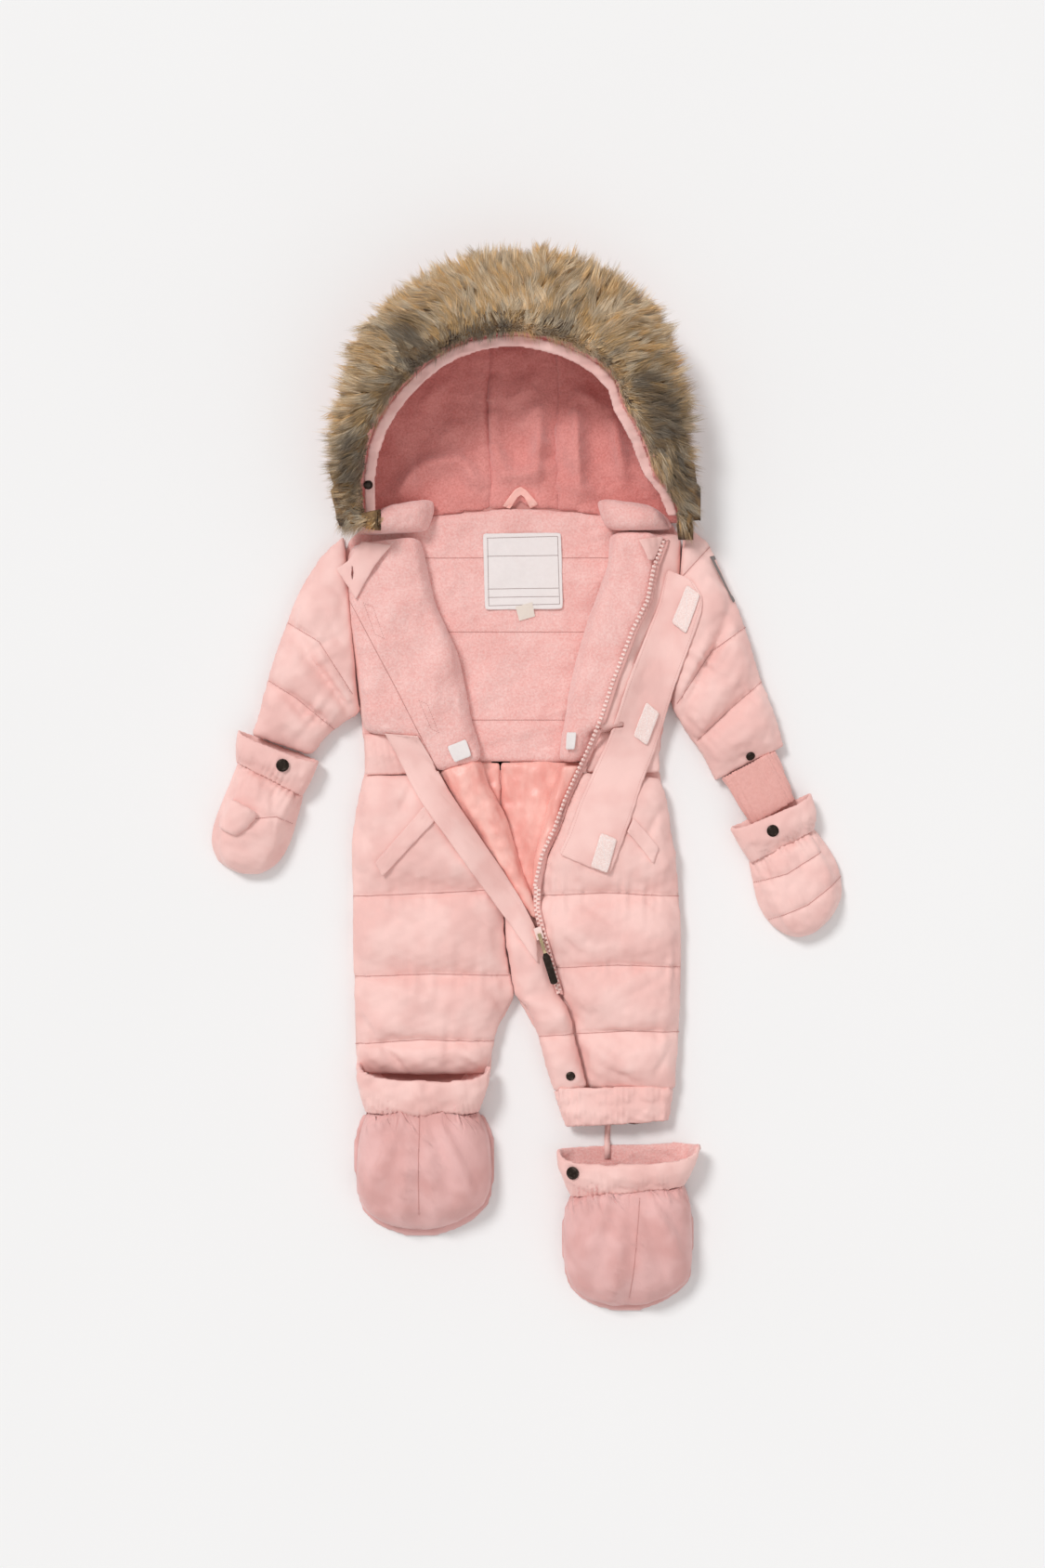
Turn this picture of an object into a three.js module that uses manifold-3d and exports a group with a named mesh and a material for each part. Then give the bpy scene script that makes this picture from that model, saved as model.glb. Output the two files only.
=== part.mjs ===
// Baby snowsuit laid open on a flat surface, seen as its pattern pieces.
// Millimetres. X runs across the suit, +Y towards the hood, +Z up, and Z = 0 is the surface that it lies on.
import * as THREE from "three";
import { mergeVertices } from "three/addons/utils/BufferGeometryUtils.js";
import Module from "manifold-3d";

const wasm = await Module();
wasm.setup();

// Driving dimensions
const SEAM_GAP = 0.3; // between two pieces that are sewn or lie on each other
const SHARED_SPACE = 1e-3; // mm3 of overlap from which a piece is cut back
const BACK_LOFT = 9; // insulated back, flat on the surface
const FRONT_BASE = BACK_LOFT + SEAM_GAP; // where the front panels begin
const PANEL_EDGE = 6; // height of a padded panel at its side seams
const HOOD_WALL = 5; // shell, wadding and fleece together
const CUFF_WALL = 3.5;
const FLAP_THICK = 2.4;
const TAPE_THICK = 1.4;
const LABEL_THICK = 0.8;
const ELASTIC_THICK = 1.2;
const WELT_THICK = 2.4;
const LOOP_THICK = 2;
const SNAP_CAP = 14; // diameter of the large press studs
const SNAP_SMALL = 10;
const SLIDER = { x: 15, y: -157, length: 13, width: 8, thick: 4.5 };
const PULL = { endX: 32, endY: -211, width: 8, thick: 2.2, linkLength: 22, linkWidth: 3.6 };

// Colours of the cloths and trims
const SHELL = { color: 0xf1bfb7, roughness: 0.62, metalness: 0 };
const FLEECE = { color: 0xf5b8b3, roughness: 0.95, metalness: 0 };
const SATIN = { color: 0xee9c91, roughness: 0.4, metalness: 0 };
const FUR = { color: 0xa58763, roughness: 0.9, metalness: 0 };
const LABEL = { color: 0xf3e6e4, roughness: 0.8, metalness: 0 };
const GREY_LABEL = { color: 0x8f8481, roughness: 0.8, metalness: 0 };
const HOOK_TAPE = { color: 0xf3dad5, roughness: 0.9, metalness: 0 };
const RESIN = { color: 0xf2c9c1, roughness: 0.5, metalness: 0 };
const METAL = { color: 0x3a332e, roughness: 0.35, metalness: 0.9 };

// A short table: its columns are named once, and each row is a section
const table = (columns, rows) => {
  const names = columns.split(" ");
  return rows.map((row) => Object.fromEntries(names.map((name, i) => [name, row[i]])));
};

const clamp = THREE.MathUtils.clamp;
const lerp = THREE.MathUtils.lerp;
const group = new THREE.Group();
group.name = "baby_snowsuit";
const made = {};

// Mesh helpers

function closedGeometry(points, faces) {
  const geometry = new THREE.BufferGeometry();
  geometry.setAttribute("position", new THREE.Float32BufferAttribute(points.flat(), 3));
  geometry.setIndex(faces.flat());
  return facingOut(geometry);
}

function facingOut(geometry) {
  const place = geometry.attributes.position;
  const index = geometry.index.array;
  const [a, b, c] = [new THREE.Vector3(), new THREE.Vector3(), new THREE.Vector3()];
  let volume = 0;
  for (let i = 0; i < index.length; i += 3) {
    a.fromBufferAttribute(place, index[i]);
    b.fromBufferAttribute(place, index[i + 1]);
    c.fromBufferAttribute(place, index[i + 2]);
    volume += a.dot(b.cross(c));
  }
  if (volume < 0) {
    for (let i = 0; i < index.length; i += 3) {
      [index[i], index[i + 1]] = [index[i + 1], index[i]];
    }
  }
  return geometry;
}

function toSolid(geometry) {
  const bare = geometry.clone();
  bare.deleteAttribute("normal");
  bare.deleteAttribute("uv");
  const merged = mergeVertices(bare, 1e-4);
  return new wasm.Manifold(new wasm.Mesh({
    numProp: 3,
    vertProperties: new Float32Array(merged.attributes.position.array),
    triVerts: new Uint32Array(merged.index.array),
  }));
}

function toGeometry(solid) {
  const mesh = solid.getMesh();
  const geometry = new THREE.BufferGeometry();
  geometry.setAttribute("position", new THREE.BufferAttribute(new Float32Array(mesh.vertProperties), 3));
  geometry.setIndex(new THREE.BufferAttribute(new Uint32Array(mesh.triVerts), 1));
  return mergeVertices(geometry, 1e-3);
}

const volumeOf = (solid) => solid.volume();

// The largest body of a cut piece, without the crumbs
function mainBody(solid) {
  return solid.decompose().reduce((best, body) => (volumeOf(body) > volumeOf(best) ? body : best));
}

// A piece's surface moved out along its corner normals, to cut the pieces beside it with.
// The corners go further than the gap, because the normals there lean away from the faces.
const CORNER_REACH = 1.4;

function grown(geometry, gap) {
  const bare = mergeVertices(geometry.clone(), 1e-4);
  bare.computeVertexNormals();
  const place = bare.attributes.position;
  const normal = bare.attributes.normal;
  for (let i = 0; i < place.count; i++) {
    place.setXYZ(
      i,
      place.getX(i) + normal.getX(i) * gap * CORNER_REACH,
      place.getY(i) + normal.getY(i) * gap * CORNER_REACH,
      place.getZ(i) + normal.getZ(i) * gap * CORNER_REACH,
    );
  }
  bare.deleteAttribute("normal");
  return toSolid(bare);
}

// A new piece gives way to the pieces made before it wherever they would share space
function fitted(geometry) {
  let solid = toSolid(geometry);
  geometry.computeBoundingBox();
  for (const { geometry: other, solid: otherSolid } of Object.values(made)) {
    const near = other.boundingBox.intersectsBox(geometry.boundingBox);
    if (near && volumeOf(solid.intersect(otherSolid)) > SHARED_SPACE) {
      solid = solid.subtract(grown(other, SEAM_GAP));
      if (volumeOf(solid.intersect(otherSolid)) > SHARED_SPACE) {
        solid = solid.subtract(grown(other, 0));
      }
    }
  }
  return mainBody(solid);
}

function add(name, rough, finish) {
  const solid = fitted(rough);
  const geometry = toGeometry(solid);
  geometry.computeVertexNormals();
  geometry.computeBoundingBox();
  const mesh = new THREE.Mesh(geometry, new THREE.MeshStandardMaterial({ ...finish }));
  mesh.name = name;
  group.add(mesh);
  mesh.updateMatrixWorld(true);
  made[name] = { mesh, geometry, solid };
}

// Height of the uppermost of some pieces above a place
const ray = new THREE.Raycaster();
const DOWN = new THREE.Vector3(0, 0, -1);
function heightOver(names, x, y, floor = 0) {
  ray.set(new THREE.Vector3(x, y, 400), DOWN);
  const hits = ray.intersectObjects(names.map((name) => made[name].mesh), false);
  return hits.length ? Math.max(hits[0].point.z, floor) : floor;
}

// Two edges of a piece as smooth curves through the table's rows
function pieceEdges(rows) {
  const curve = (x, y) => new THREE.CatmullRomCurve3(
    rows.map((row) => new THREE.Vector3(row[x], row[y], row.rise ?? 0)),
    false,
    "centripetal",
  );
  return { left: curve("leftX", "leftY"), right: curve("rightX", "rightY") };
}

// Where a place along the piece stands between two quilting seams: 0 on a seam, 1 in the middle
function pillow(rows, along) {
  const seams = rows.map((row, i) => (row.seam ? i : -1)).filter((i) => i >= 0);
  const after = seams.findIndex((i) => i > along - 1e-9);
  if (after <= 0) {
    return seams.includes(along) ? 0 : 1;
  }
  const share = (along - seams[after - 1]) / (seams[after] - seams[after - 1]);
  return Math.pow(clamp(4 * share * (1 - share), 0, 1), 0.45);
}

const dome = (u) => Math.pow(clamp(1 - Math.pow(Math.abs(2 * u - 1), 3.2), 0, 1), 0.55);

// A grid of points over a piece, u across from the left edge and v along the rows
function gridOf(rows, columns, steps, pointAt) {
  const count = (rows.length - 1) * steps;
  const grid = [];
  for (let j = 0; j <= count; j++) {
    const row = [];
    for (let i = 0; i <= columns; i++) {
      row.push(pointAt(i / columns, j / count, j / steps));
    }
    grid.push(row);
  }
  return grid;
}

function gridFaces(wide, long, offset, flip) {
  const faces = [];
  for (let j = 0; j < long; j++) {
    for (let i = 0; i < wide; i++) {
      const a = offset + j * (wide + 1) + i;
      const [b, c, d] = [a + 1, a + wide + 2, a + wide + 1];
      faces.push(flip ? [a, c, b] : [a, b, c], flip ? [a, d, c] : [a, c, d]);
    }
  }
  return faces;
}

function rimOf(wide, long) {
  const rim = [];
  for (let i = 0; i < wide; i++) rim.push(i);
  for (let j = 0; j < long; j++) rim.push(j * (wide + 1) + wide);
  for (let i = wide; i > 0; i--) rim.push(long * (wide + 1) + i);
  for (let j = long; j > 0; j--) rim.push(j * (wide + 1));
  return rim;
}

// A solid between an upper and a lower grid of the same size
function betweenGrids(upper, lower) {
  const [wide, long] = [upper[0].length - 1, upper.length - 1];
  const points = [...upper.flat(), ...lower.flat()];
  const shift = upper.flat().length;
  const faces = [...gridFaces(wide, long, 0, false), ...gridFaces(wide, long, shift, true)];
  const rim = rimOf(wide, long);
  rim.forEach((a, i) => {
    const b = rim[(i + 1) % rim.length];
    faces.push([a, shift + b, b], [a, shift + a, shift + b]);
  });
  return closedGeometry(points, faces);
}

// A padded panel with a flat underside: rows run along it, and its crown dips at the quilting seams
function paddedPanel({ rows, base, edge = PANEL_EDGE, columns = 10, steps = 2, dip = 0.45, across = dome }) {
  const { left, right } = pieceEdges(rows);
  const upper = gridOf(rows, columns, steps, (u, v, along) => {
    const [a, b] = [left.getPoint(v), right.getPoint(v)];
    const crown = a.z - base - edge;
    const loft = crown * across(u, v) * (1 - dip * (1 - pillow(rows, along)));
    return [lerp(a.x, b.x, u), lerp(a.y, b.y, u), base + edge + loft];
  });
  const [wide, long] = [columns, upper.length - 1];
  const points = upper.flat();
  const shift = points.length;
  const rim = rimOf(wide, long);
  rim.forEach((a) => points.push([points[a][0], points[a][1], base]));
  const faces = gridFaces(wide, long, 0, false);
  rim.forEach((a, i) => {
    const next = (i + 1) % rim.length;
    faces.push([a, shift + next, rim[next]], [a, shift + i, shift + next]);
  });
  const outline = rim.map((a) => new THREE.Vector2(points[a][0], points[a][1]));
  const turned = THREE.ShapeUtils.isClockWise(outline);
  const order = outline.map((_, i) => (turned ? outline.length - 1 - i : i));
  const flat = THREE.ShapeUtils.triangulateShape(order.map((i) => outline[i]), []);
  flat.forEach(([a, b, c]) => {
    const [p, q, r] = [order[a], order[b], order[c]].map((i) => shift + i);
    faces.push(turned ? [p, q, r] : [p, r, q]);
  });
  return closedGeometry(points, faces);
}

// A thin piece that lies on others: its underside is their surface, moved out
function laidPiece({
  rows, over, thick, columns = 4, steps = 2, floor = 0, crown = 0, soften = 2, lift = 0.6,
}) {
  const { left, right } = pieceEdges(rows);
  const lower = gridOf(rows, columns, steps, (u, v) => {
    const [a, b] = [left.getPoint(v), right.getPoint(v)];
    const [x, y] = [lerp(a.x, b.x, u), lerp(a.y, b.y, u)];
    return [x, y, heightOver(over, x, y, floor)];
  });
  for (let pass = 0; pass < soften; pass++) {
    const before = lower.map((row) => row.map((point) => point[2]));
    lower.forEach((row, j) => row.forEach((point, i) => {
      const around = [[0, 1], [0, -1], [1, 0], [-1, 0]]
        .map(([di, dj]) => before[j + dj]?.[i + di])
        .filter((z) => z !== undefined);
      const mean = around.reduce((sum, z) => sum + z, 0) / around.length;
      point[2] = Math.max(before[j][i], lerp(before[j][i], mean, 0.7));
    }));
  }
  lower.flat().forEach((point) => {
    point[2] += lift;
  });
  const upper = lower.map((row) => row.map(([x, y, z], i) => [
    x,
    y,
    z + thick + crown * dome(i / columns),
  ]));
  return betweenGrids(upper, lower);
}

// A flattened open tube, from its mouth to its far end
function flatTube({ rows, wall, sides = 18, steps = 1, mouthDip = 0, ripple = 0, waves = 0 }) {
  const { left, right } = pieceEdges(rows);
  const lift = new THREE.CatmullRomCurve3(rows.map((row) => new THREE.Vector3(row.base, 0, 0)));
  const count = (rows.length - 1) * steps;
  const ringAt = (v, inset) => {
    const [a, b] = [left.getPoint(v), right.getPoint(v)];
    const [height, base] = [a.z, lift.getPoint(v).x];
    const half = new THREE.Vector2(b.x - a.x, b.y - a.y).multiplyScalar(0.5);
    const side = half.clone().normalize();
    const reach = half.length() - inset;
    const tall = height / 2 - inset;
    const back = new THREE.Vector2(side.y, -side.x);
    return Array.from({ length: sides }, (_, k) => {
      const angle = (2 * Math.PI * k) / sides;
      const wide = Math.sign(Math.cos(angle)) * Math.pow(Math.abs(Math.cos(angle)), 0.75);
      const up = Math.sign(Math.sin(angle)) * Math.pow(Math.abs(Math.sin(angle)), 0.8);
      const wave = inset ? 0 : ripple * Math.cos(waves * angle);
      const dip = mouthDip * (1 - v) * Math.max(0, up);
      return [
        (a.x + b.x) / 2 + side.x * wide * (reach + wave) + back.x * dip,
        (a.y + b.y) / 2 + side.y * wide * (reach + wave) + back.y * dip,
        Math.max(0, base + height / 2 + up * (tall + wave)),
      ];
    });
  };
  const points = [];
  for (const inset of [0, wall]) {
    for (let j = 0; j <= count; j++) points.push(...ringAt(j / count, inset));
  }
  const faces = [];
  const inner = (count + 1) * sides;
  for (let k = 0; k < sides; k++) {
    const next = (k + 1) % sides;
    for (let j = 0; j < count; j++) {
      const [a, b] = [j * sides + k, j * sides + next];
      const [c, d] = [b + sides, a + sides];
      faces.push([a, b, c], [a, c, d], [inner + a, inner + c, inner + b], [inner + a, inner + d, inner + c]);
    }
    const far = count * sides;
    faces.push([k, inner + next, next], [k, inner + k, inner + next]);
    faces.push([far + k, far + next, inner + far + next], [far + k, inner + far + next, inner + far + k]);
  }
  return closedGeometry(points, faces);
}

// An arched wall on a sole or palm: open below and at the ankle or wrist, closed round the tip
function archShell({ rows, base, wall, sides = 10, steps = 1, seamDepth = 0 }) {
  const { left, right } = pieceEdges(rows);
  const count = (rows.length - 1) * steps;
  const shell = (inset) => {
    const grid = [];
    for (let j = 0; j <= count; j++) {
      const v = inset ? Math.min((j / count) * 0.93, 0.93) : j / count;
      const [a, b] = [left.getPoint(v), right.getPoint(v)];
      const [middleX, middleY] = [(a.x + b.x) / 2, (a.y + b.y) / 2];
      const half = Math.hypot(b.x - a.x, b.y - a.y) / 2;
      const shrink = (half - inset) / half;
      const tall = Math.max(a.z - inset, 1.5);
      grid.push(Array.from({ length: sides + 1 }, (_, i) => {
        const angle = Math.PI * (1 - i / sides);
        const wide = Math.sign(Math.cos(angle)) * Math.pow(Math.abs(Math.cos(angle)), 0.8);
        const groove = seamDepth * Math.max(0, 1 - Math.abs(wide) * 9);
        const up = Math.pow(Math.max(0, Math.sin(angle)), 0.8) * tall - (inset ? 0 : groove);
        return [
          middleX + ((b.x - a.x) / 2) * wide * shrink,
          middleY + ((b.y - a.y) / 2) * wide * shrink,
          base + Math.max(0, up),
        ];
      }));
    }
    return grid;
  };
  return betweenGrids(shell(0), shell(wall));
}

// A small turned cap that lies square on the surface under it
function pressStud(name, x, y, diameter, over) {
  const radius = diameter / 2;
  const spots = Array.from({ length: 8 }, (_, k) => {
    const angle = (Math.PI * k) / 4;
    const [px, py] = [x + radius * Math.cos(angle), y + radius * Math.sin(angle)];
    return new THREE.Vector3(px, py, heightOver(over, px, py));
  });
  const slopeX = spots.reduce((sum, p) => sum + (p.x - x) * p.z, 0) / (4 * radius * radius);
  const slopeY = spots.reduce((sum, p) => sum + (p.y - y) * p.z, 0) / (4 * radius * radius);
  const centre = new THREE.Vector3(x, y, heightOver(over, x, y));
  const seat = Math.max(centre.z, ...spots.map((p) => p.z - slopeX * (p.x - x) - slopeY * (p.y - y)));
  const cap = new THREE.LatheGeometry([
    new THREE.Vector2(0, 0),
    new THREE.Vector2(radius, 0),
    new THREE.Vector2(radius, 1.2),
    new THREE.Vector2(radius * 0.72, 2.4),
    new THREE.Vector2(radius * 0.6, 1.9),
    new THREE.Vector2(0, 1.9),
  ], 14);
  cap.rotateX(Math.PI / 2);
  const up = new THREE.Vector3(-slopeX, -slopeY, 1).normalize();
  cap.applyQuaternion(new THREE.Quaternion().setFromUnitVectors(new THREE.Vector3(0, 0, 1), up));
  cap.translate(x, y, seat + 2 * SEAM_GAP);
  cap.deleteAttribute("normal");
  cap.deleteAttribute("uv");
  add(name, facingOut(mergeVertices(cap, 1e-4)), METAL);
}

const EDGES = "leftX leftY rightX rightY rise seam";

// Hood: a padded bowl that lies on its back with the face opening up
const HOOD_NECK = { x: -5, y: 306 };
const HOOD_SEAMS = [-38, 35];
const HOOD = table("angle rim out height", [
  [-7, 170, 178, 42],
  [15, 142, 180, 62],
  [38, 142, 205, 80],
  [55, 158, 240, 92],
  [75, 161, 250, 98],
  [95, 165, 247, 100],
  [115, 167, 246, 98],
  [135, 166, 230, 90],
  [155, 168, 206, 75],
  [187, 166, 182, 42],
]);
const HOOD_FLOOR = 5.5; // fleece side of the hood's back
const HOOD_NECK_RING = 5;

function hoodAt(angle) {
  const after = clamp(HOOD.findIndex((row) => row.angle >= angle), 1, HOOD.length - 1);
  const [a, b] = [HOOD[after - 1], HOOD[after]];
  const share = clamp((angle - a.angle) / (b.angle - a.angle), 0, 1);
  const soft = share * share * (3 - 2 * share);
  return {
    rim: lerp(a.rim, b.rim, soft),
    out: lerp(a.out, b.out, soft),
    height: lerp(a.height, b.height, soft),
  };
}

function hoodProfile(angle, outer) {
  const { rim, out, height } = hoodAt(angle);
  const wall = outer ? HOOD_WALL : 0;
  const floor = outer ? 0 : HOOD_FLOOR;
  return new THREE.CatmullRomCurve3([
    [HOOD_NECK_RING, floor],
    [0.45 * out, floor],
    [0.82 * out - 6, floor + 2.5],
    [out - 9 + wall * 0.8, 0.16 * height + floor * 0.8],
    [out - 4 + wall, 0.5 * height],
    [lerp(rim, out, 0.72) + wall * 0.5, 0.86 * height + wall * 0.8],
    [lerp(rim, out, 0.3), height - 2 + wall],
    [rim, height + wall * 0.8],
  ].map(([r, z]) => new THREE.Vector3(r, 0, z)), false, "centripetal");
}

function hoodSpot(angle, radius, z) {
  const turn = THREE.MathUtils.degToRad(angle);
  return [HOOD_NECK.x + radius * Math.cos(turn), HOOD_NECK.y + radius * Math.sin(turn), z];
}

function hoodBowl(wide, long) {
  const side = (outer) => Array.from({ length: long + 1 }, (_, j) => {
    const angle = lerp(-7, 187, j / long);
    const profile = hoodProfile(angle, outer);
    return Array.from({ length: wide + 1 }, (_, i) => {
      const spot = profile.getPoint(i / wide);
      return hoodSpot(angle, spot.x, Math.max(0, spot.z));
    });
  });
  return betweenGrids(side(false), side(true));
}

function slab(fromX, toX) {
  const box = new THREE.BoxGeometry(toX - fromX, 900, 400);
  box.translate((fromX + toX) / 2, 300, 100);
  return toSolid(box);
}

function hoodPanels() {
  const bowl = toSolid(hoodBowl(10, 24));
  const [seamLeft, seamRight] = HOOD_SEAMS;
  const half = SEAM_GAP / 2;
  const part = (fromX, toX) => toGeometry(mainBody(bowl.intersect(slab(fromX, toX))));
  add("hood_side_left", part(-400, seamLeft - half), FLEECE);
  add("hood_crown", part(seamLeft + half, seamRight - half), FLEECE);
  add("hood_side_right", part(seamRight + half, 400), FLEECE);
}

const FACING_WIDE = 12;
const FACING_THICK = 2;

function hoodFacing() {
  const long = 24;
  const level = (lift) => Array.from({ length: long + 1 }, (_, j) => {
    const angle = lerp(-6, 186, j / long);
    const { rim, height } = hoodAt(angle);
    return [rim - FACING_WIDE, rim - FACING_WIDE / 2, rim - 2 * SEAM_GAP].map((radius, i) => {
      return hoodSpot(angle, radius, height + lift + [0, 1, 2][i]);
    });
  });
  add("hood_facing", betweenGrids(level(FACING_THICK), level(0)), SHELL);
}

// Fur trim: a full ruff on the hood's edge that sweeps back over the shell, as far as its hairs reach
const FUR_OUTLINE = table("angle out", [
  [-13, 183], [4, 183], [22, 199], [42, 225], [54, 246], [66, 256], [79, 264],
  [92, 263], [106, 262], [118, 254], [134, 244], [148, 226], [161, 215], [180, 199], [191, 195],
]);
const FUR_LOCKS = { count: 52, depth: 5 };
const FUR_CLEAR = 3.2; // of the fur's backing over the hood's shell

function furReach(angle) {
  const after = clamp(FUR_OUTLINE.findIndex((row) => row.angle >= angle), 1, FUR_OUTLINE.length - 1);
  const [a, b] = [FUR_OUTLINE[after - 1], FUR_OUTLINE[after]];
  return lerp(a.out, b.out, clamp((angle - a.angle) / (b.angle - a.angle), 0, 1));
}

function furTrim() {
  const stations = FUR_LOCKS.count;
  const rings = Array.from({ length: stations + 1 }, (_, j) => {
    const angle = lerp(-12, 190, j / stations);
    const { rim, height } = hoodAt(angle);
    const lock = FUR_LOCKS.depth * (j % 2 ? 0 : -1) - 2 * Math.sin(j * 1.7);
    const under = hoodProfile(angle, true);
    const [bulge, shoulder, brow] = [4 / 7, 5 / 7, 6 / 7].map((share) => under.getPoint(share));
    const reach = Math.max(furReach(angle) + lock, bulge.x + 2 * FUR_CLEAR);
    const end = Math.min(j, stations - j, 3) / 3;
    const full = lerp(0.55, 1, end);
    const width = reach - rim;
    return [
      [rim - 2, height + HOOD_WALL + 2],
      [rim - 3, height + HOOD_WALL + 6 * full],
      [rim + 0.22 * width, height + 26 * full],
      [rim + 0.55 * width, height + 23 * full],
      [rim + 0.85 * width, 0.82 * height + 12 * full],
      [reach, 0.62 * height + 2],
      [Math.max(bulge.x + FUR_CLEAR, reach - 6), 0.5 * height],
      [shoulder.x + FUR_CLEAR, shoulder.z + FUR_CLEAR],
      [brow.x, brow.z + FUR_CLEAR],
    ].map(([radius, z]) => hoodSpot(angle, radius, z));
  });
  const sides = rings[0].length;
  const faces = [];
  for (let j = 0; j < stations; j++) {
    for (let k = 0; k < sides; k++) {
      const [a, b] = [j * sides + k, j * sides + ((k + 1) % sides)];
      faces.push([a, b, b + sides], [a, b + sides, a + sides]);
    }
  }
  for (let k = 1; k < sides - 1; k++) {
    const last = stations * sides;
    faces.push([0, k + 1, k], [last, last + k, last + k + 1]);
  }
  add("fur_trim", closedGeometry(rings.flat(), faces), FUR);
}

// Back: one upper panel and two seat-and-leg panels that meet at the centre seam
function backPanels() {
  add("back_upper", paddedPanel({
    base: 0,
    edge: BACK_LOFT - 3,
    rows: table(EDGES, [
      [-22, 300, 12, 300, BACK_LOFT, 1],
      [-92, 293, 80, 294, BACK_LOFT, 0],
      [-164, 285, 156, 286, BACK_LOFT, 0],
      [-190, 266, 168, 268, BACK_LOFT, 0],
      [-194, 247, 170, 247, BACK_LOFT, 1],
      [-192, 167, 164, 167, BACK_LOFT, 1],
      [-178, 77, 154, 87, BACK_LOFT, 0],
      [-172, 27, 144, 27, BACK_LOFT, 1],
    ]),
    columns: 8,
    dip: 0.3,
  }), FLEECE);
  add("back_leg_left", paddedPanel({
    base: 0,
    edge: BACK_LOFT - 3,
    rows: table(EDGES, [
      [-172, 26, -26, 26, BACK_LOFT, 1],
      [-180, -20, -26, -20, BACK_LOFT, 0],
      [-186, -80, -25, -80, BACK_LOFT, 0],
      [-185, -150, -22, -150, BACK_LOFT, 1],
      [-183, -225, -10.5, -225, BACK_LOFT, 0],
      [-182, -262, -30, -262, BACK_LOFT, 0],
      [-181, -308, -37, -308, BACK_LOFT, 1],
    ]),
    columns: 6,
  }), SATIN);
  add("back_leg_right", paddedPanel({
    base: 0,
    edge: BACK_LOFT - 3,
    rows: table(EDGES, [
      [-25.6, 26, 144, 26, BACK_LOFT, 1],
      [-25.6, -20, 153, -20, BACK_LOFT, 0],
      [-24.6, -80, 162, -80, BACK_LOFT, 0],
      [-21.6, -150, 168, -150, BACK_LOFT, 1],
      [-10, -225, 167, -225, BACK_LOFT, 0],
      [14, -267, 165, -267, BACK_LOFT, 0],
      [32, -328, 160, -326, BACK_LOFT, 1],
    ]),
    columns: 6,
  }), SATIN);
}

// Sleeves: a back and a front panel, fanned from the armhole to the wrist
const SLEEVE_LEFT = [
  [-195, 270, -180, 90, 27, 0],
  [-220, 246, -178, 86, 33, 0],
  [-243, 210, -178, 80, 36, 0],
  [-256, 177, -185, 75, 36, 1],
  [-268, 144, -194, 70, 37, 0],
  [-277, 115, -205, 62, 35, 1],
  [-284, 85, -216, 53, 32, 0],
  [-294, 56, -230, 34, 20, 1],
];
const SLEEVE_RIGHT = [
  [172, 282, 157, 92, 27, 0],
  [197, 263, 158, 90, 33, 0],
  [213, 227, 160, 83, 36, 0],
  [227, 199, 166, 73, 36, 1],
  [238, 169, 174, 59, 37, 0],
  [254, 116, 185, 44, 36, 1],
  [271, 73, 195, 29, 34, 0],
  [279, 44, 205, 7, 22, 1],
];

function sleeves() {
  const flat = (rows) => rows.map((row) => [...row.slice(0, 4), BACK_LOFT, row[5]]);
  const ofSide = { left: SLEEVE_LEFT, right: SLEEVE_RIGHT };
  for (const [side, rows] of Object.entries(ofSide)) {
    add(`sleeve_${side}_back`, paddedPanel({
      base: 0, edge: 5, rows: table(EDGES, flat(rows)), columns: 4, steps: 1,
    }), SHELL);
    add(`sleeve_${side}_front`, paddedPanel({
      base: FRONT_BASE, rows: table(EDGES, rows), columns: 8, dip: 0.5,
    }), SHELL);
  }
}

// Fronts: folded outwards at the opening, so that the fleece shows; hidden layers share one rounded solid
const ROLL = { edge: 0.09, lower: 0.42 };
const rolledAcross = (foldSide, rollShare) => (u) => {
  const fromFold = foldSide === "left" ? u : 1 - u;
  const rise = Math.sqrt(clamp(1 - Math.pow(1 - fromFold / ROLL.edge, 2), 0, 1));
  const top = fromFold < ROLL.edge ? rise : 1;
  const fall = clamp((fromFold - rollShare) / 0.12, 0, 1);
  const outer = Math.sqrt(clamp((1 - fromFold) / 0.06, 0, 1));
  return lerp(top, ROLL.lower * outer, fall * fall * (3 - 2 * fall));
};

function fronts() {
  add("front_upper_left", paddedPanel({
    base: FRONT_BASE,
    edge: 5,
    rows: table(EDGES, [
      [-189, 258, -112, 268, 34, 0],
      [-192, 228, -103, 228, 37, 0],
      [-190, 199, -97, 199, 38, 0],
      [-187, 165, -82, 165, 38, 0],
      [-185, 145, -72, 145, 38, 0],
      [-179, 105, -63, 105, 37, 0],
      [-176, 77, -58, 77, 36, 0],
      [-173.5, 59, -53, 58, 35, 0],
      [-116, 54, -50, 52, 33, 0],
      [-96, 16, -46, 29, 30, 0],
    ]),
    columns: 12,
    steps: 1,
    across: rolledAcross("right", 0.9),
  }), FLEECE);
  add("front_upper_right", paddedPanel({
    base: FRONT_BASE,
    edge: 5,
    rows: table(EDGES, [
      [91, 272, 168, 272, 35, 0],
      [90, 241, 169, 241, 37, 0],
      [80, 212, 167, 212, 38, 0],
      [66, 175, 164, 175, 38, 0],
      [53, 130, 160, 130, 38, 0],
      [46, 96, 155, 96, 37, 0],
      [42, 64, 147, 64, 36, 0],
      [40, 58, 80, 60, 34, 0],
      [37, 27, 66, 27, 30, 0],
    ]),
    columns: 12,
    steps: 1,
    across: rolledAcross("left", 0.55),
  }), FLEECE);
}

// Shirred waistbands at the sides, between the fronts and the legs
const SHIRRING = { waves: 9, depth: 0.16 };
const shirred = (u) => dome(u) * (1 - SHIRRING.depth * (1 + Math.cos(2 * Math.PI * SHIRRING.waves * u)));

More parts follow.
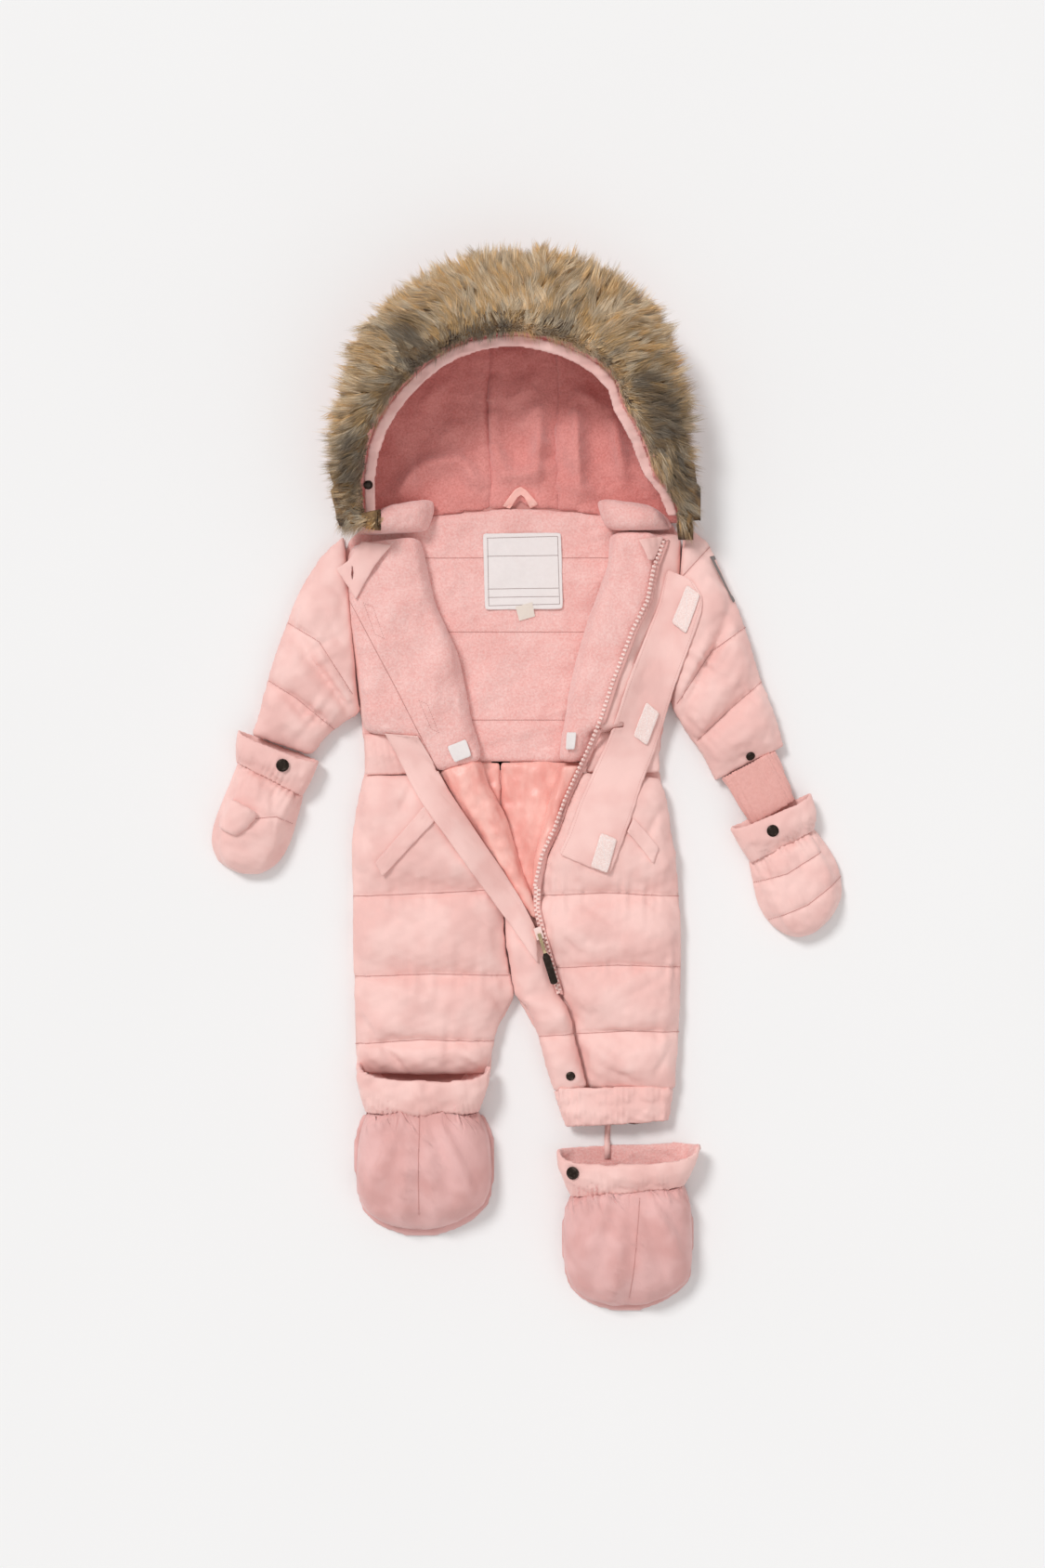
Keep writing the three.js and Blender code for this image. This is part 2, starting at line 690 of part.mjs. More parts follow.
function waistbands() {
  add("waistband_left", paddedPanel({
    base: FRONT_BASE,
    rows: table(EDGES, [
      [-173, 57, -118, 54, 21, 1],
      [-172, 34, -108, 34, 25, 0],
      [-172, 13, -98, 15, 21, 1],
    ]),
    columns: 27,
    steps: 1,
    across: shirred,
  }), SHELL);
  add("waistband_right", paddedPanel({
    base: FRONT_BASE,
    rows: table(EDGES, [
      [80, 60, 146, 62, 21, 1],
      [72, 38, 144, 38, 25, 0],
      [66, 16, 145, 16, 21, 1],
    ]),
    columns: 27,
    steps: 1,
    across: shirred,
  }), SHELL);
}

// Legs: front panels on the seat-and-leg panels, with the satin facing along the open zip
function legs() {
  add("front_leg_left", paddedPanel({
    base: FRONT_BASE,
    rows: table(EDGES, [
      [-172, 12, -92, 12, 24, 1],
      [-179, -11, -77, -11, 33, 0],
      [-185, -48, -53, -48, 37, 0],
      [-187, -84, -30, -84, 38, 0],
      [-185, -114, -22, -108, 32, 1],
      [-185, -153, -22.6, -153, 38, 0],
      [-184, -202, -16, -202, 36, 1],
      [-183.5, -225, -12, -225, 37, 0],
      [-183, -250, -27, -250, 37, 0],
      [-182, -274, -33, -274, 36, 1],
      [-181, -290, -36, -290, 33, 0],
      [-176, -308, -42, -308, 26, 1],
    ]),
    columns: 10,
  }), SHELL);
  add("front_leg_right_inner", paddedPanel({
    base: FRONT_BASE,
    rows: table(EDGES, [
      [-22, -126, -2, -126, 20, 1],
      [-21.5, -153, 12, -153, 25, 0],
      [-15.8, -193, 25, -193, 27, 0],
      [-11, -225, 37, -225, 27, 1],
      [2, -235, 45, -235, 29, 0],
      [14, -267, 53, -267, 30, 1],
      [23, -302, 62, -302, 28, 0],
      [31, -328, 67, -325, 20, 1],
    ]),
    columns: 6,
  }), SHELL);
  add("front_leg_right", paddedPanel({
    base: FRONT_BASE,
    rows: table(EDGES, [
      [60, 14, 145, 10, 24, 1],
      [45, -14, 154, -19, 33, 0],
      [33, -48, 158, -51, 37, 0],
      [20, -78, 163, -83, 38, 0],
      [13, -117, 166, -117, 32, 1],
      [18, -153, 168, -153, 38, 0],
      [31, -193, 168, -193, 36, 1],
      [40, -225, 167, -225, 38, 0],
      [50, -240, 167, -240, 38, 0],
      [56, -267, 166, -263, 34, 1],
      [65, -302, 163, -302, 35, 0],
      [70, -325, 161, -325, 22, 1],
    ]),
    columns: 10,
  }), SHELL);
  add("front_lining_left", paddedPanel({
    base: FRONT_BASE,
    edge: 4,
    rows: table(EDGES, [
      [-97, 26, -47, 27, 30, 0],
      [-85, 4, -40, 4, 30, 0],
      [-62, -33, -20, -33, 28, 0],
      [-29, -83, -5, -83, 24, 0],
      [-4, -122, 8, -124, 18, 0],
      [8, -140, 14, -141, 15, 0],
    ]),
    columns: 6,
    steps: 1,
  }), SATIN);
  add("front_lining_right", paddedPanel({
    base: FRONT_BASE,
    edge: 4,
    rows: table(EDGES, [
      [37, 22, 61, 22, 30, 0],
      [27, -14, 45, -14, 28, 0],
      [18, -48, 34, -48, 26, 0],
      [10, -83, 20, -83, 22, 0],
      [8.5, -118, 13, -118, 17, 0],
    ]),
    columns: 6,
    steps: 1,
  }), SATIN);
}

// Flaps, zip, tapes and labels that lie on the panels
const LEFT_STACK = [
  "front_upper_left", "sleeve_left_front", "waistband_left", "front_leg_left",
  "front_lining_left", "front_leg_right_inner",
];
const RIGHT_STACK = [
  "front_upper_right", "sleeve_right_front", "waistband_right", "front_leg_right",
  "front_lining_right", "front_leg_right_inner",
];

const FLAP_LIFT = 1.4; // a long flap bridges the small hollows under it

function flaps() {
  add("wind_flap", laidPiece({
    over: LEFT_STACK,
    thick: FLAP_THICK + 1.6,
    lift: FLAP_LIFT,
    columns: 3,
    floor: FRONT_BASE,
    rows: table(EDGES, [
      [-212, 225, -203, 230],
      [-230, 204, -193, 201],
      [-221, 173, -178, 168],
      [-198, 133, -159, 128],
      [-180, 104, -143, 103],
      [-159, 71, -123, 68],
      [-139, 38, -103, 35],
      [-116, -8, -82, -3],
      [-84, -53, -56, -42],
      [-52, -98, -30, -81],
      [-17, -146, -5, -119],
      [14, -190, 12, -153],
    ]),
  }), SHELL);
  add("zip_chain", laidPiece({
    over: [...RIGHT_STACK, "wind_flap"],
    thick: 2.2,
    lift: FLAP_LIFT,
    columns: 2,
    steps: 1,
    floor: FRONT_BASE,
    rows: table(EDGES, [
      [152, 278, 159, 277],
      [143.5, 250, 150.5, 252],
      [137, 235, 144, 237],
      [129.5, 197, 136.5, 199],
      [113.5, 165, 120.5, 167],
      [102.5, 136, 109.5, 138],
      [92.5, 110, 99.5, 112],
      [80.5, 72, 87.5, 74],
      [68.5, 43, 75.5, 45],
      [53.5, 11, 60.5, 13],
      [41.5, -15, 48.5, -13],
      [29.5, -49, 36.5, -47],
      [17.5, -73, 24.5, -71],
      [10, -106, 17, -106],
      [9.5, -131, 16.5, -131],
      [14.5, -151, 21.5, -153],
      [24, -186, 31, -188],
      [34, -221, 41, -223],
    ]),
  }), RESIN);
  add("storm_flap", laidPiece({
    over: [...RIGHT_STACK, "zip_chain"],
    thick: FLAP_THICK,
    lift: FLAP_LIFT,
    columns: 4,
    floor: FRONT_BASE,
    rows: table(EDGES, [
      [152, 235, 177, 222],
      [143, 197, 192, 200],
      [129, 163, 180, 159],
      [108, 108, 162, 110],
      [96, 70, 149, 64],
      [84, 41, 139, 34],
      [69, 9, 127, 5],
      [57, -17, 118, -23],
      [45, -51, 103, -65],
      [34.5, -72, 91, -96],
    ]),
  }), SHELL);
}

function trims() {
  const tapes = table("x1 y1 x2 y2 x3 y3 x4 y4", [
    [173, 216, 187, 205, 157, 176, 172, 163],
    [130, 91, 144, 79, 116, 55, 131, 44],
    [81, -49, 98, -56, 70, -85, 88, -92],
  ]);
  tapes.forEach((tape, i) => add(`hook_tape_${i + 1}`, laidPiece({
    over: ["storm_flap"],
    thick: TAPE_THICK,
    columns: 2,
    rows: table(EDGES, [[tape.x1, tape.y1, tape.x2, tape.y2], [tape.x3, tape.y3, tape.x4, tape.y4]]),
  }), HOOK_TAPE));
  const patch = (name, { over, rows, thick = LABEL_THICK, finish = LABEL, steps = 1 }) => add(
    name,
    laidPiece({ over, thick, columns: 3, steps, rows: table(EDGES, rows) }),
    finish,
  );
  patch("main_label", {
    over: ["back_upper"],
    rows: [[-45, 273, 39, 274], [-44, 232, 40, 233], [-43, 191, 41, 192]],
  });
  const elastic = { thick: ELASTIC_THICK };
  patch("elastic_tab_left", {
    ...elastic,
    over: ["front_upper_left"],
    rows: [[-83, 43, -63, 51], [-75, 26, -57, 33]],
  });
  patch("elastic_tab_right", {
    ...elastic,
    over: ["front_upper_right"],
    rows: [[45, 58, 55, 58], [44, 40, 53, 40]],
  });
  patch("sleeve_label", {
    over: ["sleeve_right_front"],
    finish: GREY_LABEL,
    rows: [[199, 247, 206, 249], [212, 222, 218, 222], [224, 198, 226, 200]],
  });
  const folded = { thick: WELT_THICK, finish: SHELL, steps: 2 };
  patch("pocket_welt_left", {
    ...folded,
    over: ["front_leg_left"],
    rows: [[-103, -16, -92, -32], [-132, -49, -122, -64], [-160, -81, -152, -96]],
  });
  patch("pocket_welt_right", {
    ...folded,
    over: ["front_leg_right", "storm_flap"],
    rows: [[109, -48, 116, -33], [123, -64, 131, -50], [137, -82, 143, -65]],
  });
  patch("collar_facing_left", {
    ...folded,
    over: ["front_upper_left", "sleeve_left_front"],
    rows: [[-174, 262, -142, 258], [-190, 240, -160, 236], [-202, 234, -180, 200]],
  });
  patch("collar_facing_right", {
    ...folded,
    over: ["front_upper_right"],
    rows: [[121, 264, 148, 268], [127, 254, 144, 256], [132, 242, 138, 243]],
  });
  patch("hanging_loop", {
    over: ["hood_crown", "back_upper"],
    thick: LOOP_THICK,
    finish: SHELL,
    steps: 3,
    rows: [[-24, 303, -16, 300], [-5, 324, -4, 315], [14, 305, 6, 301]],
  });
}

// Collar: the fleece rolls out of the neck seam on each side
function collars() {
  add("collar_left", paddedPanel({
    base: FRONT_BASE,
    rows: table(EDGES, [
      [-156, 298, -98, 309, 30, 0],
      [-168, 286, -99, 294, 40, 0],
      [-178, 272, -106, 276, 36, 0],
    ]),
    columns: 8,
    steps: 3,
  }), FLEECE);
  add("collar_right", paddedPanel({
    base: FRONT_BASE,
    rows: table(EDGES, [
      [78, 309, 138, 300, 30, 0],
      [82, 294, 152, 290, 40, 0],
      [90, 277, 160, 278, 36, 0],
    ]),
    columns: 8,
    steps: 3,
  }), FLEECE);
}

// Mittens, booties, rib cuff and hem band
const TUBE = "leftX leftY rightX rightY rise base";

function endPieces() {
  add("rib_cuff", flatTube({
    wall: 2.4,
    sides: 24,
    ripple: 0.5,
    waves: 12,
    steps: 1,
    rows: table(TUBE, [[212, 9, 269, 40, 17, 5], [229, -16, 281, 12, 16, 5], [245, -41, 291, -15, 16, 3.8]]),
  }), SHELL);
  add("mitten_left_cuff", flatTube({
    wall: CUFF_WALL,
    rows: table(TUBE, [
      [-309, 62, -221, 28, 32, 0],
      [-311, 44, -229, 8, 33, 0],
      [-311, 26, -240, -11, 25, 0],
    ]),
    mouthDip: 5,
  }), SHELL);
  add("mitten_right_cuff", flatTube({
    wall: CUFF_WALL,
    rows: table(TUBE, [
      [220, -44, 308, -6, 32, 0],
      [231, -64, 314, -27, 33, 0],
      [244, -83, 312, -47, 25, 0],
    ]),
    mouthDip: 5,
  }), SHELL);
  const hand = (name, rows) => add(name, paddedPanel({
    base: 0, edge: 9, rows: table(EDGES, rows), columns: 6, steps: 2,
  }), SHELL);
  hand("mitten_left_hand", [
    [-308, 31, -239, -5, 24, 0],
    [-318, 4, -243, -22, 32, 0],
    [-332, -30, -248, -40, 34, 0],
    [-338, -56, -254, -60, 32, 0],
    [-331, -80, -268, -83, 26, 0],
    [-308, -93, -287, -94, 14, 0],
  ]);
  hand("mitten_right_hand", [
    [242, -78, 309, -42, 24, 0],
    [247, -103, 328, -66, 32, 0],
    [253, -128, 340, -92, 34, 0],
    [267, -149, 341, -120, 32, 0],
    [284, -160, 329, -143, 26, 0],
    [297, -162, 311, -158, 14, 0],
  ]);
  add("mitten_left_thumb", laidPiece({
    over: ["mitten_left_hand"],
    thick: 3,
    crown: 6,
    columns: 5,
    rows: table(EDGES, [[-315, -12, -285, -28], [-324, -26, -294, -42], [-330, -43, -308, -53]]),
  }), SHELL);
  const cuff = (name, rows) => add(name, flatTube({
    wall: 4, sides: 18, steps: 1, mouthDip: 15, rows: table(TUBE, rows),
  }), SHELL);
  cuff("bootie_left_cuff", [
    [-181, -296, -36, -300, 48, 0],
    [-180, -313, -38, -316, 50, 0],
    [-176, -333, -44, -335, 47, 0],
    [-171, -351, -50, -351, 42, 0],
  ]);
  cuff("bootie_right_cuff", [
    [33, -389, 188, -384, 50, 0],
    [36, -408, 183, -403, 52, 0],
    [43, -425, 177, -417, 48, 0],
    [49, -440, 171, -429, 43, 0],
  ]);
  const sole = (name, rows) => add(name, paddedPanel({
    base: 0, edge: 3.5, rows: table(EDGES, rows), columns: 4, steps: 2,
  }), SHELL);
  sole("bootie_left_sole", [
    [-176, -355, -44, -355, 6, 0],
    [-184, -380, -34, -378, 6, 0],
    [-183, -430, -34, -428, 6, 0],
    [-174, -460, -40, -453, 6, 0],
    [-151, -478, -66, -475, 6, 0],
    [-125, -486, -98, -486, 6, 0],
  ]);
  sole("bootie_right_sole", [
    [46, -446, 174, -436, 6, 0],
    [40, -475, 182, -465, 6, 0],
    [41, -510, 182, -502, 6, 0],
    [48, -540, 178, -534, 6, 0],
    [70, -559, 152, -556, 6, 0],
    [97, -567, 123, -567, 6, 0],
  ]);
  const upper = (name, rows) => add(name, archShell({
    base: 6 + 0.5, wall: 6, seamDepth: 3, rows: table(EDGES, rows),
  }), SHELL);
  upper("bootie_left_upper", [
    [-169, -346, -52, -346, 39, 0],
    [-179, -376, -39, -376, 50, 0],
    [-182, -408, -35, -405, 52, 0],
    [-181, -436, -36, -431, 46, 0],
    [-172, -457, -43, -450, 36, 0],
    [-147, -472, -73, -470, 22, 0],
    [-125, -477, -101, -477, 8, 0],
  ]);
  upper("bootie_right_upper", [
    [51, -436, 170, -425, 40, 0],
    [42, -462, 179, -450, 50, 0],
    [41, -488, 181, -478, 52, 0],
    [43, -518, 181, -508, 46, 0],
    [51, -540, 176, -531, 36, 0],
    [69, -553, 155, -549, 22, 0],
    [92, -559, 130, -558, 8, 0],
  ]);
  add("hem_band", flatTube({
    wall: 4,
    sides: 24,
    ripple: 1,
    waves: 12,
    steps: 1,
    rows: table(TUBE, [
      [31, -324, 160, -321, 26, 0],
      [38, -348, 157, -343, 30, 0],
      [45, -365, 154, -359, 26, 0],
    ]),
  }), SHELL);
}

// A thin ribbon ties the loose bootie to the leg: from inside the hem band, over the surface,
// to the inside of the bootie's cuff
const TETHER = { wide: 6, thick: 1.2 };
const TETHER_PATH = table("x y z", [
  [90, -348, 4.7],
  [90, -363.6, 4.7],
  [90, -368.4, 0],
  [89, -381.6, 0],
  [89, -385.4, 5],
  [89, -402, 5],
]);

function tether() {
  const face = (rise) => TETHER_PATH.map(({ x, y, z }) => (
    [x - TETHER.wide / 2, x + TETHER.wide / 2].map((side) => [side, y, z + rise])
  ));
  add("tether", betweenGrids(face(TETHER.thick), face(0)), SHELL);
}

function studs() {
  pressStud("stud_hood", -166, 320, SNAP_SMALL, ["hood_side_left", "hood_facing"]);
  pressStud("stud_mitten_left", -259, 23, SNAP_CAP, ["mitten_left_cuff"]);
  pressStud("stud_mitten_right", 265, -47, SNAP_CAP - 1, ["mitten_right_cuff"]);
  pressStud("stud_sleeve", 242, 33, SNAP_SMALL, ["sleeve_right_front"]);
  pressStud("stud_leg", 49, -310, SNAP_SMALL, ["front_leg_right_inner"]);
  pressStud("stud_bootie", 51, -411, SNAP_CAP, ["bootie_right_cuff"]);
}

// Zip slider on the chain, with its hinged pull
const HINGE_LIFT = 1.6; // of the pull's pin over the slider's body

function zipPull() {
  const over = ["zip_chain", "wind_flap", "front_leg_right", "front_leg_right_inner", "front_lining_left"];
  const along = new THREE.Vector2(PULL.endX - SLIDER.x, PULL.endY - SLIDER.y).normalize();
  const turn = Math.atan2(along.y, along.x);
  const spots = [-0.5, 0, 0.5].flatMap((s) => [-0.5, 0, 0.5].map((t) => heightOver(
    over,
    SLIDER.x + along.x * SLIDER.length * s - along.y * SLIDER.width * t,
    SLIDER.y + along.y * SLIDER.length * s + along.x * SLIDER.width * t,
  )));
  const seat = Math.max(...spots) + SEAM_GAP;
  const body = new THREE.BoxGeometry(SLIDER.length, SLIDER.width, SLIDER.thick, 2, 2, 1);
  body.rotateZ(turn);
  body.translate(SLIDER.x, SLIDER.y, seat + SLIDER.thick / 2);
  add("zip_slider", facingOut(mergeVertices(stripped(body), 1e-4)), RESIN);
  const hingeZ = seat + SLIDER.thick + HINGE_LIFT;
  const outline = new THREE.Shape();
  const reach = Math.hypot(PULL.endX - SLIDER.x, PULL.endY - SLIDER.y);
  const [thin, wide] = [PULL.linkWidth / 2, PULL.width / 2];
  outline.moveTo(0, -thin);
  outline.lineTo(PULL.linkLength, -thin);
  outline.lineTo(PULL.linkLength + 4, -wide);
  outline.lineTo(reach - 3, -wide);
  outline.quadraticCurveTo(reach, -wide, reach, 0);
  outline.quadraticCurveTo(reach, wide, reach - 3, wide);
  outline.lineTo(PULL.linkLength + 4, wide);
  outline.lineTo(PULL.linkLength, thin);
  outline.lineTo(0, thin);
  const tab = new THREE.ExtrudeGeometry(outline, {
    depth: PULL.thick,
    bevelEnabled: false,
    curveSegments: 4,
  });
  tab.translate(0, 0, -PULL.thick / 2);
  tab.rotateZ(turn);
  tab.translate(SLIDER.x, SLIDER.y, hingeZ);
  add("zip_pull", facingOut(mergeVertices(stripped(tab), 1e-4)), METAL);
  return new THREE.Vector3(SLIDER.x, SLIDER.y, hingeZ);
}

function stripped(geometry) {
  geometry.deleteAttribute("normal");
  geometry.deleteAttribute("uv");
  return geometry;
}

hoodPanels();
hoodFacing();
furTrim();
backPanels();
sleeves();
fronts();
waistbands();
legs();
flaps();
trims();
collars();
endPieces();
tether();
studs();
zipPull();

// The origin is the middle of the whole suit's outline on the surface
group.position.set(-2, -1.5, 0);

export default group;
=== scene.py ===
"""Looks of a padded baby snowsuit that lies open on a pale surface, seen from straight above."""
import math

import bmesh
import bpy
import numpy as np
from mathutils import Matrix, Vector
from mathutils.bvhtree import BVHTree
from mathutils.kdtree import KDTree


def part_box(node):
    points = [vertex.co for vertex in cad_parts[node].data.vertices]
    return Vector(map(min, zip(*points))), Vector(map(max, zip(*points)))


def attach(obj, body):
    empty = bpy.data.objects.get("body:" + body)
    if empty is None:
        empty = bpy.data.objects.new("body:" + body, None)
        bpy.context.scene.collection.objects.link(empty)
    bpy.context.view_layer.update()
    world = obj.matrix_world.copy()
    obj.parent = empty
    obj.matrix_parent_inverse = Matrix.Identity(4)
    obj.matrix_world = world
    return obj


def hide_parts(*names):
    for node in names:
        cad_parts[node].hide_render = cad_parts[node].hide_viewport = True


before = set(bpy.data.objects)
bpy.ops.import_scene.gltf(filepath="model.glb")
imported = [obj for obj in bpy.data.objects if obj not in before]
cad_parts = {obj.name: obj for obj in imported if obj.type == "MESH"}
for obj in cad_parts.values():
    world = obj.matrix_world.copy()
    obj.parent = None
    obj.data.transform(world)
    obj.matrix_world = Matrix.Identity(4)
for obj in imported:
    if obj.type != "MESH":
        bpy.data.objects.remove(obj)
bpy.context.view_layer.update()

MM = 0.001
ORIGIN = np.array([-2.0, -1.5])  # the suit's drafting frame to the row frame, mm
rng = np.random.default_rng(64)


def spot(x, y, z=0.0):
    """A place in the drafting frame, in millimetres, as metres in the row frame."""
    return Vector(((x + ORIGIN[0]) * MM, (y + ORIGIN[1]) * MM, z * MM))


def drafted(points):
    """Places in the row frame, back in the drafting frame and in millimetres, seen from above."""
    return points[:, :2] / MM - ORIGIN


# Camera, lights and surface

VIEW_TALL = 1.688  # metres of surface that the photograph's height takes in
VIEW_FROM = 2.6
PLANE_OF_SCALE = 0.015


def camera():
    data = bpy.data.cameras.new("above")
    data.lens = data.sensor_width * VIEW_FROM / VIEW_TALL
    eye = bpy.data.objects.new("above", data)
    eye.location = (-0.0045, 0.0015, VIEW_FROM + PLANE_OF_SCALE)
    bpy.context.scene.collection.objects.link(eye)
    bpy.context.scene.camera = eye


def lights():
    scene = bpy.context.scene
    scene.view_settings.view_transform = "Standard"
    scene.world = bpy.data.worlds.new("pale_room")
    scene.world.use_nodes = True
    back = scene.world.node_tree.nodes["Background"]
    back.inputs["Color"].default_value = (1.0, 0.985, 0.975, 1)
    back.inputs["Strength"].default_value = 0.55
    for name, strength, soft, turn in (
        ("window", 1.55, 16, (-30, -29, 0)),
        ("fill", 0.35, 60, (30, 25, 0)),
    ):
        lamp = bpy.data.lights.new(name, "SUN")
        lamp.energy = strength
        lamp.angle = math.radians(soft)
        holder = bpy.data.objects.new(name, lamp)
        holder.rotation_euler = [math.radians(a) for a in turn]
        scene.collection.objects.link(holder)


# Shader maths as expressions

class Field:
    """A value, colour or vector that varies over a surface; fields add and multiply."""

    def __init__(self, finish, socket):
        self.finish = finish
        self.socket = socket

    def _math(self, operation, other):
        return self.finish.node("ShaderNodeMath", {"operation": operation}, {0: self, 1: other})

    def __add__(self, other):
        return self._math("ADD", other)

    def __mul__(self, other):
        return self._math("MULTIPLY", other)

    def clipped(self, low, high):
        values = {"Value": self, "From Min": low, "From Max": high}
        return self.finish.node("ShaderNodeMapRange", {"interpolation_type": "SMOOTHSTEP"}, values)


class Finish:
    """A material with one method for every node and short words for what cloth needs."""

    def __init__(self, name, colour, roughness, **constants):
        self.material = bpy.data.materials.new(name)
        self.material.use_nodes = True
        self.tree = self.material.node_tree
        self.shader = self.tree.nodes["Principled BSDF"]
        self.set("Base Color", (*colour, 1))
        self.set("Roughness", roughness)
        for socket, value in constants.items():
            self.set(socket.replace("_", " "), value)
        self.place = self.node("ShaderNodeTexCoord", {}, {}, "Object")

    def set(self, socket, value):
        self.shader.inputs[socket].default_value = value

    def node(self, kind, picked, values, output=0):
        node = self.tree.nodes.new(kind)
        for name, value in picked.items():
            setattr(node, name, value)
        for name, value in values.items():
            if isinstance(value, Field):
                self.tree.links.new(value.socket, node.inputs[name])
            else:
                node.inputs[name].default_value = value
        return Field(self, node.outputs[output])

    def noise(self, scale, detail, stretch=(1, 1, 1), rough=0.55):
        vector = self.node("ShaderNodeVectorMath", {"operation": "MULTIPLY"}, {0: self.place, 1: stretch})
        values = {"Vector": vector, "Scale": scale, "Detail": detail, "Roughness": rough}
        return self.node("ShaderNodeTexNoise", {}, values)

    def cells(self, scale):
        return self.node("ShaderNodeTexVoronoi", {}, {"Vector": self.place, "Scale": scale})

    def wave(self, scale, direction, distortion=0.0):
        values = {"Vector": self.place, "Scale": scale, "Distortion": distortion}
        return self.node("ShaderNodeTexWave", {"bands_direction": direction}, values)

    def feed(self, socket, field):
        self.tree.links.new(field.socket, self.shader.inputs[socket])

    def tint(self, factor, low, high):
        """Colours the surface from low to high as the factor goes from 0 to 1."""
        values = {"Factor": factor, 6: (*low, 1), 7: (*high, 1)}
        self.feed("Base Color", self.node("ShaderNodeMix", {"data_type": "RGBA"}, values, 2))

    def bump(self, height, distance, strength):
        values = {"Height": height, "Distance": distance, "Strength": strength}
        self.feed("Normal", self.node("ShaderNodeBump", {}, values))


def srgb(text):
    """A colour written as six hex digits, in linear light."""
    parts = [int(text[i:i + 2], 16) / 255 for i in (0, 2, 4)]
    return tuple(c / 12.92 if c <= 0.04045 else ((c + 0.055) / 1.055) ** 2.4 for c in parts)


def shell_cloth(name, low, high):
    """Fine matt weave with a faint bloom and very small puckers."""
    cloth = Finish(name, high, 0.6, Sheen_Weight=0.25, Sheen_Roughness=0.45, Specular_IOR_Level=0.35)
    drift = cloth.noise(22, 2.0)
    cloth.tint(drift.clipped(0.35, 0.65), low, high)
    weave = cloth.wave(900, "X") * cloth.wave(900, "Y")
    wrinkle = cloth.noise(95, 3.0)
    cloth.bump(weave * 0.12 + wrinkle, 0.0009, 0.55)
    return cloth.material


def fleece_cloth(name, low, high):
    """Short curled pile: small tufts over slow drifts of shade."""
    cloth = Finish(name, high, 0.95, Sheen_Weight=0.55, Sheen_Roughness=0.6, Specular_IOR_Level=0.1)
    curls = cloth.noise(420, 4.0, rough=0.7)
    drift = cloth.noise(30, 3.0)
    shade = curls.clipped(0.32, 0.68) * 0.65 + drift.clipped(0.3, 0.7) * 0.35
    cloth.tint(shade, low, high)
    cloth.bump(curls + cloth.noise(160, 2.0) * 0.7, 0.002, 0.6)
    return cloth.material


def satin_cloth():
    """Shiny lining over wadding, with small pulled wrinkles."""
    cloth = Finish("satin_lining", srgb("EE9C91"), 0.42, Sheen_Weight=0.2, Specular_IOR_Level=0.5)
    drift = cloth.noise(40, 3.0, (1, 0.5, 1))
    cloth.tint(drift.clipped(0.3, 0.7), srgb("EFA196"), srgb("FDC3B8"))
    cloth.bump(cloth.noise(60, 4.0, (1, 0.35, 1)) + cloth.noise(170, 3.0) * 0.4, 0.003, 0.45)
    return cloth.material


def rib_cloth():
    cloth = Finish("rib_knit", srgb("EDB0A8"), 0.85, Sheen_Weight=0.3)
    cloth.bump(cloth.noise(500, 2.0), 0.001, 0.5)
    cloth.tint(cloth.noise(300, 2.0), srgb("E3A198"), srgb("F2BAB2"))
    return cloth.material


def ribbon(name, low, high):
    cloth = Finish(name, high, 0.6, Sheen_Weight=0.2)
    threads = cloth.wave(1400, "Y", 0.6)
    cloth.tint(threads * 0.5 + cloth.noise(250, 2.0) * 0.5, low, high)
    cloth.bump(threads, 0.0002, 0.4)
    return cloth.material


def hook_cloth():
    cloth = Finish("hook_tape", srgb("F3DAD5"), 0.85)
    hooks = cloth.cells(900)
    cloth.tint(hooks.clipped(0.2, 0.8), srgb("F3D4CD"), srgb("FCE9E4"))
    cloth.bump(hooks, 0.0006, 0.5)
    return cloth.material


def resin():
    plastic = Finish("zip_resin", srgb("F9DBD4"), 0.42, Specular_IOR_Level=0.5)
    plastic.feed("Roughness", plastic.noise(300, 2.0) * 0.25 + 0.32)
    return plastic.material


def metal(name, colour, roughness):
    plate = Finish(name, colour, roughness, Metallic=1.0)
    worn = plate.noise(260, 3.0)
    plate.feed("Roughness", worn * 0.3 + roughness * 0.7)
    plate.tint(worn.clipped(0.45, 0.75), colour, tuple(c * 1.6 + 0.01 for c in colour))
    return plate.material


def dark_cloth():
    cloth = Finish("elastic", srgb("2A2423"), 0.8)
    cloth.tint(cloth.noise(400, 2.0), srgb("1C1817"), srgb("3B3432"))
    return cloth.material


def fur_hair():
    """Each hair carries its own colour, from a taupe root through golden tan to a dark tip, darkened by painted
    shade in patches of the trim.
    """
    hair = Finish("faux_fur", srgb("B08D62"), 0.55, Specular_IOR_Level=0.35, Sheen_Weight=0.3)
    shade = hair.node("ShaderNodeAttribute", {"attribute_name": "shade"}, {}, "Color")
    hair.feed("Base Color", shade)
    return hair.material


def fur_backing():
    pile = Finish("fur_backing", srgb("6B5238"), 0.95)
    pile.tint(pile.noise(45, 3.0).clipped(0.35, 0.65), srgb("4A3829"), srgb("96754E"))
    pile.bump(pile.noise(300, 3.0), 0.003, 0.8)
    return pile.material


def floor_finish():
    paper = Finish("pale_surface", srgb("F3F3F3"), 0.9, Specular_IOR_Level=0.0)
    paper.tint(paper.noise(3, 1.0), srgb("F2F2F2"), srgb("F4F4F4"))
    return paper.material


